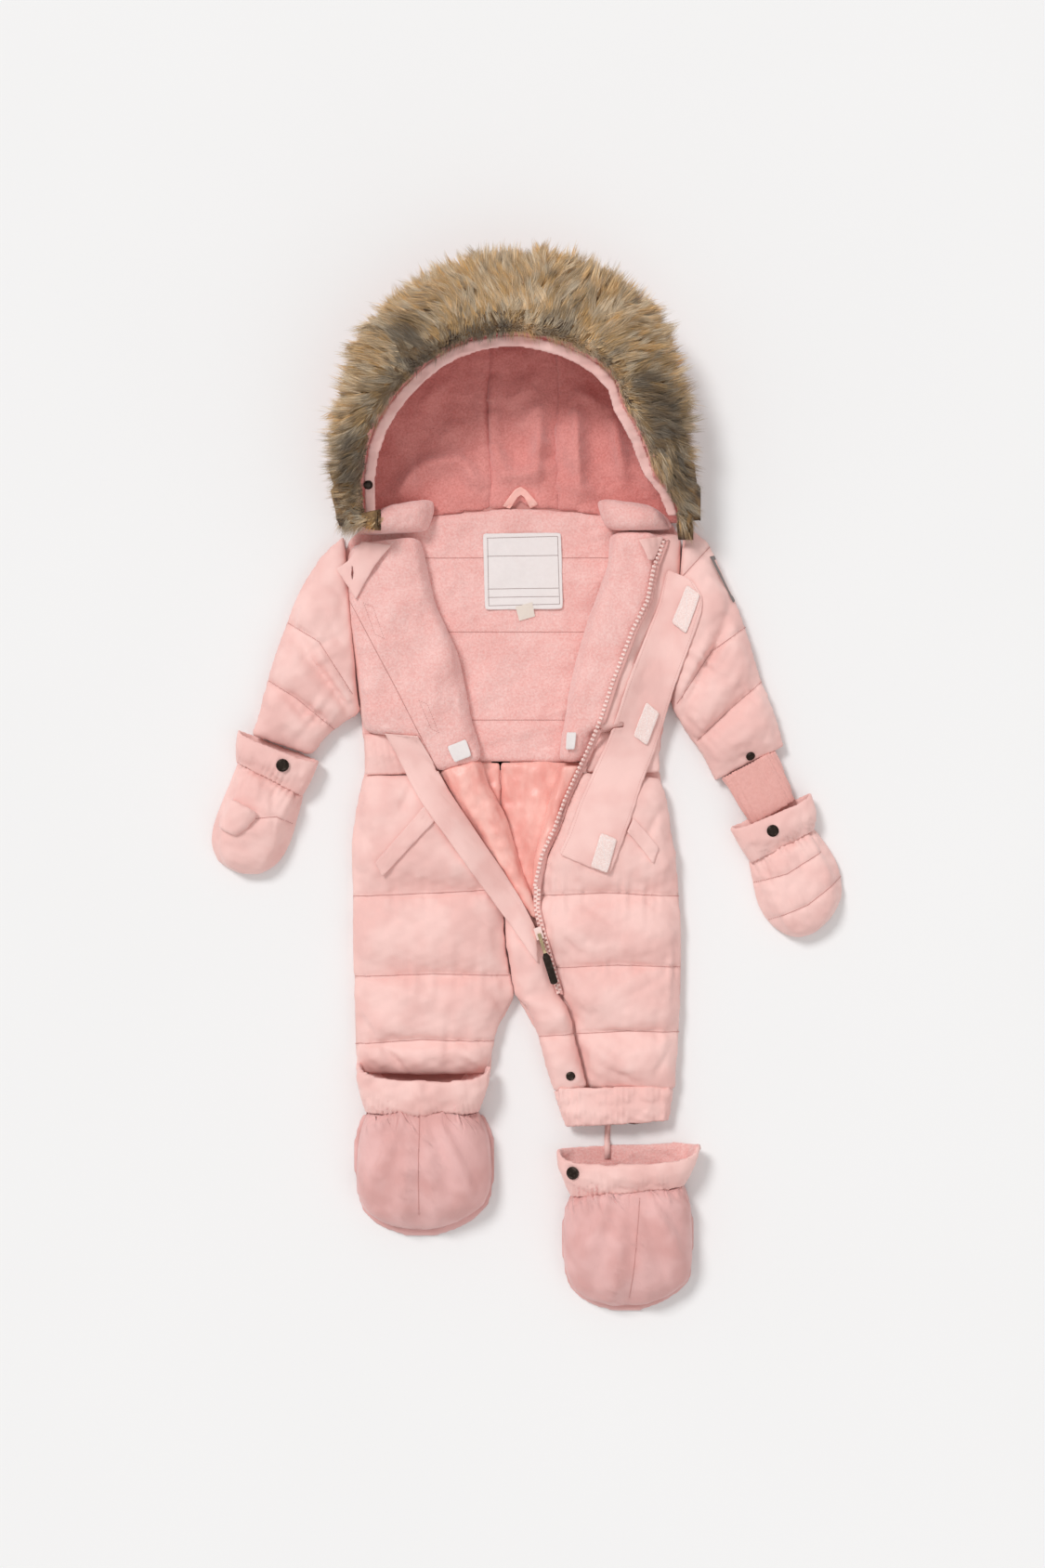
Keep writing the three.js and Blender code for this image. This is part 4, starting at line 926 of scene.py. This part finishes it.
SLIDER_AT = -106  # along the suit, mm: the zip is closed below this
TEETH_GAP = 2.4
TOOTH = ((-0.4, 2.0, 1.3), (1.0, 2.0, 1.3), (1.6, 1.6, 0.9))  # height and half sizes of three levels, mm


def zip_teeth():
    """Moulded teeth: one row along the open front, two that mesh below the slider."""
    points, faces = [], []
    for number, (place, way) in enumerate(spaced(CHAIN, TEETH_GAP)):
        side = np.array([-way[1], way[0]])
        if place[1] < SLIDER_AT:
            centre = place + side * (1.3 if number % 2 else -1.3)
        elif number % 2:
            centre = place - side * 2.6
        else:
            continue
        found = GROUND.trail(centre, way, ["zip_tape_cloth"])
        if found is None:
            continue
        hit, normal, run, across = found
        first = len(points)
        for high, wide, long in TOOTH:
            for a, b in ((-1, -1), (1, -1), (1, 1), (-1, 1)):
                points.append(hit + normal * high * MM + across * a * wide * MM + run * b * long * MM)
        faces += tube_faces(first, len(TOOTH))
    mesh_piece("zip_teeth", points, faces, "zip_resin", smooth=False)


def hard_piece(node, name, body, soft_edge, *finishes):
    """A piece of metal or resin: its node's own mesh with its edges softened, in millimetres."""
    piece = cad_copy(node, name)
    finish_in(piece, *finishes)
    rebuild(piece, "BEVEL", width=soft_edge * MM, segments=2, limit_method="ANGLE", angle_limit=math.radians(35))
    piece.data.shade_smooth()
    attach(piece, body)
    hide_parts(node)
    return piece


def zip_parts():
    tape = cloth_piece("zip_chain", "zip_tape_cloth", halved=2, ease=1, slow=0.0, fine=0.05)
    keep_over(tape, ["front_lining_fold_right", "satin_fold_right", "front_leg_right_shell",
                     "front_leg_right_inner_shell", "waistband_right_shell"])
    finish_in(tape, "stitch")
    zip_teeth()
    hard_piece("zip_slider", "slider_body", "suit", 0.5, "zip_resin")
    pull = hard_piece("zip_pull", "pull_tab", "pull", 0.35, "dark_metal", "pale_brass")
    brass_from = spot(15, -184).y
    sided(pull, lambda centres, normals: centres[:, 1] > brass_from)


def press_studs():
    for node in ("stud_hood", "stud_mitten_left", "stud_mitten_right", "stud_sleeve", "stud_leg", "stud_bootie"):
        hard_piece(node, f"{node}_cap", "suit", 0.3, "dark_metal")


# Faux fur: a dark backing with locks of tapered hairs

FUR_HEART = np.array(spot(-8, 395))
LOCKS = 1500
HAIRS_IN_PIECE = 33000
FRINGE_SHARE = 0.22  # of the hairs, standing out round the edge
TIPS_OUT = 24  # mm a tip may stand off the trim's form
HOOD_STUD = np.array(spot(-166, 320))[:2]
STUD_CLEAR = 8  # mm round the stud without hairs
EDGE_BINS = 60  # directions in which the edge of the face opening is known
LINED_FROM = spot(0, 345)  # above this the side toward the face is lined, not furred
# painted shade on the fur: patches of hairs, most along the trim's inner edge, darkened toward SHADOW
PAINTED_SHADE_PATCHES = [
    # x, y, radius in mm, depth of painted shade
    (-30, 470, 26, 0.9), (-70, 462, 26, 0.7), (-110, 440, 22, 0.8), (40, 484, 26, 0.55), (128, 420, 18, 1.0),
    (146, 395, 22, 0.8), (150, 360, 22, 0.9), (165, 320, 18, 0.8), (-178, 350, 22, 0.9), (-185, 325, 18, 0.7),
    (-125, 472, 22, 0.7), (-165, 385, 18, 0.6), (-140, 415, 22, 0.7), (95, 455, 20, 0.5), (-186, 290, 16, 0.6),
    (160, 285, 18, 0.6),
]
SHADOW, TAUPE, GOLDEN, BEIGE = (np.array(c) for c in (  # of the hairs, in linear light
    (0.050, 0.036, 0.030), (0.36, 0.250, 0.160), (0.92, 0.560, 0.210), (1.0, 0.840, 0.620)))


def way_out(places):
    """Level directions away from the middle of the face opening."""
    return unit((places - FUR_HEART) * LEVEL)


def surface_samples(mesh, count, fringe=0.0):
    """Random places on the furred side of a mesh and the normals there; a share lies round its edge."""
    mesh.calc_loop_triangles()
    corners = rows_of(mesh.loop_triangles, "vertices", 3, np.int64)
    points, normals = points_of(mesh), normals_of(mesh)
    a, b, c = (points[corners[:, k]] for k in range(3))
    face_normal = np.cross(b - a, c - a)
    size = np.linalg.norm(face_normal, axis=1)
    face_normal /= size[:, None].clip(1e-12)
    outer = dot(face_normal, way_out((a + b + c) / 3))
    facing_in = (outer < -0.2) & (points[corners[:, 0], 1] > LINED_FROM.y)
    coat = size * (face_normal[:, 2] > np.where(facing_in, 0.3, -0.35))
    rim = size * (outer > 0.45) * (face_normal[:, 2] > -0.8)
    chance = coat / coat.sum() * (1 - fringe) + rim / rim.sum() * fringe
    picked = rng.choice(len(size), count, p=chance)
    u, v = rng.random(count), rng.random(count)
    turned = u + v > 1
    u[turned], v[turned] = 1 - u[turned], 1 - v[turned]
    share = np.stack([1 - u - v, u, v], axis=1)[:, :, None]
    place = (points[corners[picked]] * share).sum(axis=1)
    normal = (normals[corners[picked]] * share).sum(axis=1)
    return place, normal / np.linalg.norm(normal, axis=1)[:, None]


STEEP = 0.45  # below this share of the pile's flow along the surface, hairs stand up instead


def fur_way(place, normal, tilt):
    """The lie of the pile: out from the face opening, a little off the backing."""
    flow = way_out(place)
    outward = dot(flow, normal)[:, None]
    tangent = flow - outward * normal
    side = np.cross(normal, flow)
    rise = np.maximum(np.sin(tilt[:, 1:2]), outward)
    lie = tangent / np.linalg.norm(tangent, axis=1)[:, None].clip(STEEP)
    lie = lie * np.cos(tilt[:, 1:2]) * (1.15 - outward.clip(0, 1))
    return unit(lie + normal * rise + side * np.tan(tilt[:, 0:1]))


def inner_edge(points):
    """A function of places: how far out they lie from the edge of the face opening."""
    def polar(places):
        way = (places - FUR_HEART)[:, :2]
        return np.arctan2(way[:, 1], way[:, 0]), np.linalg.norm(way, axis=1)

    def within(places):
        angle, radius = polar(places)
        return radius - np.interp(angle, middle[known], least[known])

    angle, radius = polar(points)
    bins = np.linspace(-math.pi, math.pi, EDGE_BINS + 1)
    middle = (bins[:-1] + bins[1:]) / 2
    slot = np.digitize(angle, bins) - 1
    least = np.array([radius[slot == k].min(initial=np.inf) for k in range(EDGE_BINS)])
    known = np.isfinite(least)
    return within


def spread(low, high):
    """A random length for each hair of a piece, as a column; the limits are in millimetres."""
    return (rng.uniform(low, high, HAIRS_IN_PIECE) * MM)[:, None]


def fur():
    backing = remeshed("fur_trim", "fur_backing", 5.0)
    mesh = backing.data
    form = eased(points_of(mesh), edges_of(mesh), 3)
    put_points(mesh, form)
    form_normals = normals_of(mesh)
    within = inner_edge(form)
    centre, lock_normal = surface_samples(mesh, LOCKS)
    drift = 0.3 * Ripple(60, 160).at(centre)
    lock_tilt = np.stack([rng.normal(0, 0.2, LOCKS) + drift, rng.uniform(0.14, 0.36, LOCKS)], axis=1)
    lock_way = fur_way(centre, lock_normal, lock_tilt)
    lock_long = rng.uniform(40, 66, LOCKS)
    lock_shade = rng.normal(0.02, 0.16, LOCKS)
    lock_gold = rng.random(LOCKS)
    lock_spike = rng.choice((3, 8, 14, 20), LOCKS, p=(0.3, 0.35, 0.25, 0.1))
    tree, near = tree_of(centre), tree_of(form)
    for part in range(3):
        place, normal = surface_samples(mesh, HAIRS_IN_PIECE, FRINGE_SHARE)
        outward = dot(way_out(place), normal).clip(0, 1)
        owner = np.array([tree.find(p)[1] for p in place])
        own_tilt = lock_tilt[owner] + np.stack(
            [rng.normal(0, 0.1, HAIRS_IN_PIECE), rng.normal(0, 0.06, HAIRS_IN_PIECE)], axis=1)
        way = unit(0.5 * lock_way[owner] + 0.5 * fur_way(place, normal, own_tilt))
        reach = lock_long[owner] * rng.uniform(0.6, 1.1, HAIRS_IN_PIECE)
        reach = np.minimum(reach, within(place) / MM + 2).clip(9, None)
        tip = centre[owner] + (place - centre[owner]) * 0.7 + way * spread(-4, 5)
        tip += normal * spread(-3.0, 1.2)
        tip += way * (outward * lock_spike[owner])[:, None] * spread(0, 1)
        root = place - way * (reach * MM)[:, None] - normal * spread(5, 9)
        below = np.array([near.find(p)[1] for p in root])
        out = dot(root - form[below], form_normals[below])
        root -= form_normals[below] * (out + 2 * MM).clip(0, None)[:, None]
        root[:, 2] = np.maximum(root[:, 2], 0.012)
        bend = (root + tip) / 2 + normal * spread(2, 7)
        hem = normal[:, 1] < -0.4
        tip[hem, 1] -= rng.uniform(0, 12, hem.sum()) * MM
        dark = lock_shade[owner] + rng.normal(0, 0.12, HAIRS_IN_PIECE)
        # painted shade: the hairs in the patches are darkened
        for x, y, radius, depth in PAINTED_SHADE_PATCHES:
            dark += 1.3 * depth * np.exp(-(((drafted(place) - (x, y)) / radius) ** 2).sum(axis=1))
        gold = 0.6 * lock_gold[owner] + 0.4 * rng.random(HAIRS_IN_PIECE)
        dark += 0.35 * outward * rng.random(HAIRS_IN_PIECE)
        side = unit(np.cross(way, normal + 0.35 * rng.normal(size=normal.shape)))
        line, to_stud = (tip - root)[:, :2], HOOD_STUD - root[:, :2]
        share = (dot(to_stud, line) / dot(line, line)).clip(0, 1)
        clear = np.linalg.norm(share[:, None] * line - to_stud, axis=1) > STUD_CLEAR * MM
        clear &= (within(root) > -2 * MM) & (np.array([near.find(p)[2] for p in tip]) < TIPS_OUT * MM)
        root, bend, tip, side, dark, gold = (rows[clear] for rows in (root, bend, tip, side, dark, gold))
        hair_ribbons(f"fur_pile_{part + 1}", root, bend, tip, side, dark, gold)
    inward = (-dot(way_out(form), form_normals)).clip(0, 1) * (form[:, 1] > LINED_FROM.y)
    sunk = np.where(form[:, 1] > HOOD_STUD[1], 7, 11) * (1 - (3 * inward).clip(0, 1)) + 0.8
    put_points(mesh, form - form_normals * (sunk * MM)[:, None])
    mesh.shade_smooth()
    # the faces toward the hood take the darker fleece, painted shade of the hood's hollow
    finish_in(backing, "fur_backing", "hood_fleece_painted_shade")
    sided(backing, lambda centres, normals: (dot(way_out(centres), normals) < -0.25) & (normals[:, 2] < 0.6)
          & (centres[:, 1] > LINED_FROM.y))
    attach(backing, "suit")
    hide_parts("fur_trim")


def hair_ribbons(name, root, bend, tip, side, dark, gold):
    """Three triangles a hair: two points at its root, two past its middle and one at its tip."""
    count = len(root)
    points = np.empty((count, 5, 3))
    shade = np.ones((count, 5, 4))
    warm = ((gold.clip(0, 1)[:, None] - 0.5) * 1.6 + 0.5).clip(0, 1)
    # gloom: each hair's darkening, random by lock and from the painted shade patches
    gloom = dark.clip(0, 1)[:, None]
    tan = (GOLDEN * warm + BEIGE * (1 - warm)) * (1 - 0.75 * gloom) + SHADOW * 0.75 * gloom
    # dark tips: some at random, more where the painted shade lies
    tipped_and_shaded = (rng.random(count) < 0.3 + 0.4 * gloom[:, 0])[:, None]
    end = np.where(tipped_and_shaded, tan * 0.2 + SHADOW * 0.75, tan * 0.8)
    start = TAUPE * (1 - 0.6 * gloom) + tan * 0.25
    slot = 0
    for share, tint, offsets in ((0.0, start, (-0.26, 0.26)), (0.6, tan, (-0.24, 0.24)), (1.0, end, (0,))):
        spine = root * (1 - share) ** 2 + bend * 2 * share * (1 - share) + tip * share**2
        for offset in offsets:
            points[:, slot] = spine + side * offset * MM
            shade[:, slot, :3] = tint
            slot += 1
    first = (np.arange(count) * 5)[:, None]
    quads = first + [0, 1, 3, 2]
    ends = first + [2, 3, 4]
    mesh = bpy.data.meshes.new(name)
    mesh.vertices.add(count * 5)
    mesh.vertices.foreach_set("co", points.ravel())
    loops = np.concatenate([quads.ravel(), ends.ravel()])
    mesh.loops.add(len(loops))
    mesh.loops.foreach_set("vertex_index", loops.astype(np.int32))
    mesh.polygons.add(len(quads) + len(ends))
    starts = np.concatenate([np.arange(len(quads)) * 4, len(quads) * 4 + np.arange(len(ends)) * 3])
    mesh.polygons.foreach_set("loop_start", starts.astype(np.int32))
    mesh.update(calc_edges=True)
    tints = mesh.color_attributes.new("shade", "FLOAT_COLOR", "POINT")
    tints.data.foreach_set("color", shade.ravel())
    mesh.materials.append(FINISH["faux_fur"])
    piece = new_object(name, mesh)
    mesh.shade_smooth()
    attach(piece, "suit")


# Sewing, label lines and ribbons

FRONT_SEAM = [(-203, 228), (-172, 170), (-135, 100), (-101, 33), (-88, 8)]
BOXES = [  # stitched outlines of the tapes on the other side: corner, corner, in mm
    [(-172, 196), (-160, 163), (-150, 158), (-162, 192), (-172, 196)],
    [(-113, 92), (-100, 62), (-92, 58), (-104, 88), (-113, 92)],
]


def inset(rows, share):
    return [(lx + (rx - lx) * share, ly + (ry - ly) * share) for lx, ly, rx, ry in rows]


STORM_ROWS = [
    (152, 235, 177, 222), (143, 197, 192, 200), (129, 163, 180, 159), (108, 108, 162, 110), (96, 70, 149, 64),
    (84, 41, 139, 34), (69, 9, 127, 5), (57, -17, 118, -23), (45, -51, 103, -65), (34.5, -72, 91, -96),
]


HOOK_TAPES = {
    "top": [(173, 216), (187, 205), (172, 163), (157, 176)],
    "middle": [(130, 91), (144, 79), (131, 44), (116, 55)],
    "low": [(81, -49), (98, -56), (88, -92), (70, -85)],
}


def sewing():
    # quilting lines, the front seam and the tape outlines as near-unbroken darker lines: painted shade in their
    # grooves
    for name, seams in SEWN:
        stitches(f"{name}_seam", seams, [name], finish="seam_shade", gap=2.1, length=2.3, thick=0.9, lift=0.25)
    stitches("front_seam", [FRONT_SEAM], ["front_lining_fold_left"],
             finish="seam_shade", gap=2.1, length=2.3, thick=1.1)
    stitches("tape_outlines", BOXES, ["front_lining_fold_left"], finish="seam_shade", gap=2.6)
    stitches("storm_topstitch", [inset(STORM_ROWS, 0.07), inset(STORM_ROWS, 0.93)], ["storm_flap_cloth"], gap=2.8)
    for number, (name, tape) in enumerate(HOOK_TAPES.items(), 1):
        middle = np.mean(tape, axis=0)
        ring = [tuple(middle + (np.array(p) - middle) * 0.8) for p in tape]
        stitches(f"tape_stitch_{number}", [ring + ring[:1], ring[::2]], [f"hook_tape_{name}"],
                 finish="label_ribbon", gap=2.4, length=1.8, thick=0.6)


def label_marks():
    """A ruled border and three plain lines."""
    def at(u, v):
        return (-44.5 + 84 * u + 1.5 * v, 273 - 82 * v + 1.2 * u)
    border = [at(0.05, 0.06), at(0.95, 0.05), at(0.96, 0.94), at(0.05, 0.95), at(0.05, 0.06)]
    rules = [[at(0.05, v), at(0.95, v)] for v in (0.30, 0.73, 0.84)]
    stitches("label_rules", [border, *rules], ["neck_label"], finish="label_line", gap=1.7, length=1.9, thick=0.8)


def strip(name, spine, wide, thick, finish, across=(1, 0, 0)):
    """A flat ribbon along a line of points in the drafting frame."""
    points = []
    side = Vector(across).normalized() * wide * 0.5 * MM
    for x, y, z in spine:
        centre = spot(x, y, z)
        for hand, up in ((-1, 0), (1, 0), (1, 1), (-1, 1)):
            points.append(centre + side * hand + Vector((0, 0, up * thick * MM)))
    return mesh_piece(name, points, tube_faces(0, len(spine)), finish)


UNDERLAYS = [
    # heights in mm and corners: cloth behind the seams, so that no surface shows between two pieces; its darker
    # colour is painted shade in those gaps
    (2.5, [(-150, 292), (150, 292), (150, 314), (-150, 314)]),
    (2.5, [(-160, 18), (132, 18), (132, 34), (-160, 34)]),
    (2.5, [(-36, -150), (-16, -150), (-16, 28), (-36, 28)]),
    (9.0, [(-24, -150), (14, -150), (20, -210), (-12, -210)]),
    (7.0, [(-172, -322), (-44, -322), (-40, -292), (-176, -292)]),
]


def behind_seams():
    points, faces = [], []
    for z, corners in UNDERLAYS:
        faces.append(tuple(range(len(points), len(points) + len(corners))))
        points += [spot(x, y, z) for x, y in corners]
    mesh_piece("gap_shade_underlays", points, faces, "seam_shade", smooth=False)


TETHER = [  # the route in part.mjs
    (90, -348, 4.7), (90, -363.6, 4.7), (90, -368.4, 0), (89, -381.6, 0), (89, -385.4, 5), (89, -402, 5),
]


def ribbons():
    tether = strip("tether_ribbon", TETHER, 6, 1.2, "shell")
    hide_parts("tether")
    spot(90, -363.6, 5.3)
    [tuple(spot(x, y, z + 0.6)) for x, y, z in TETHER]
    for middle, low in ((-113, -471), (111, -552)):
        toe = [(middle + x, low + 0.004 * x * x, 5.6) for x in range(-28, 29, 4)]
        strip("toe_lining", toe, 13, 8, "shell_shaded", across=(0, 1, 0))
    arc = [(98 + 40 * t, -356 - 6.5 * math.sin(math.pi * t), 9) for t in np.linspace(0, 1, 13)]
    strip("elastic_strap", arc, 3, 1.2, "elastic", across=(0, 1, 0))


def small_tag():
    corners = [(-10, 194), (8, 199), (11, 184), (-6, 179)]
    points = []
    for x, y in corners:
        ground = GROUND.drop(x, y, ["back_lining", "neck_label"])[0].z / MM
        points += [spot(x, y, ground + 0.3), spot(x, y, ground + 0.9)]
    faces = [(2 * k + 1, (2 * k + 3) % 8, (2 * k + 2) % 8, 2 * k) for k in range(4)]
    faces = [(0, 2, 4, 6), (7, 5, 3, 1), *faces]
    mesh_piece("small_tag", points, faces, "tag_ribbon", smooth=False)


def surface_under():
    bpy.ops.mesh.primitive_plane_add(size=8, location=(0, 0, -0.0005))
    floor = bpy.context.object
    floor.name = "surface"
    floor.data.materials.append(floor_finish())


camera()
lights()
surface_under()
hood()
torso_and_legs()
sleeves()
fronts()
ends()
rib_cuff()
laid_pieces()
zip_parts()
press_studs()
behind_seams()
ribbons()
sewing()
label_marks()
small_tag()
fur()
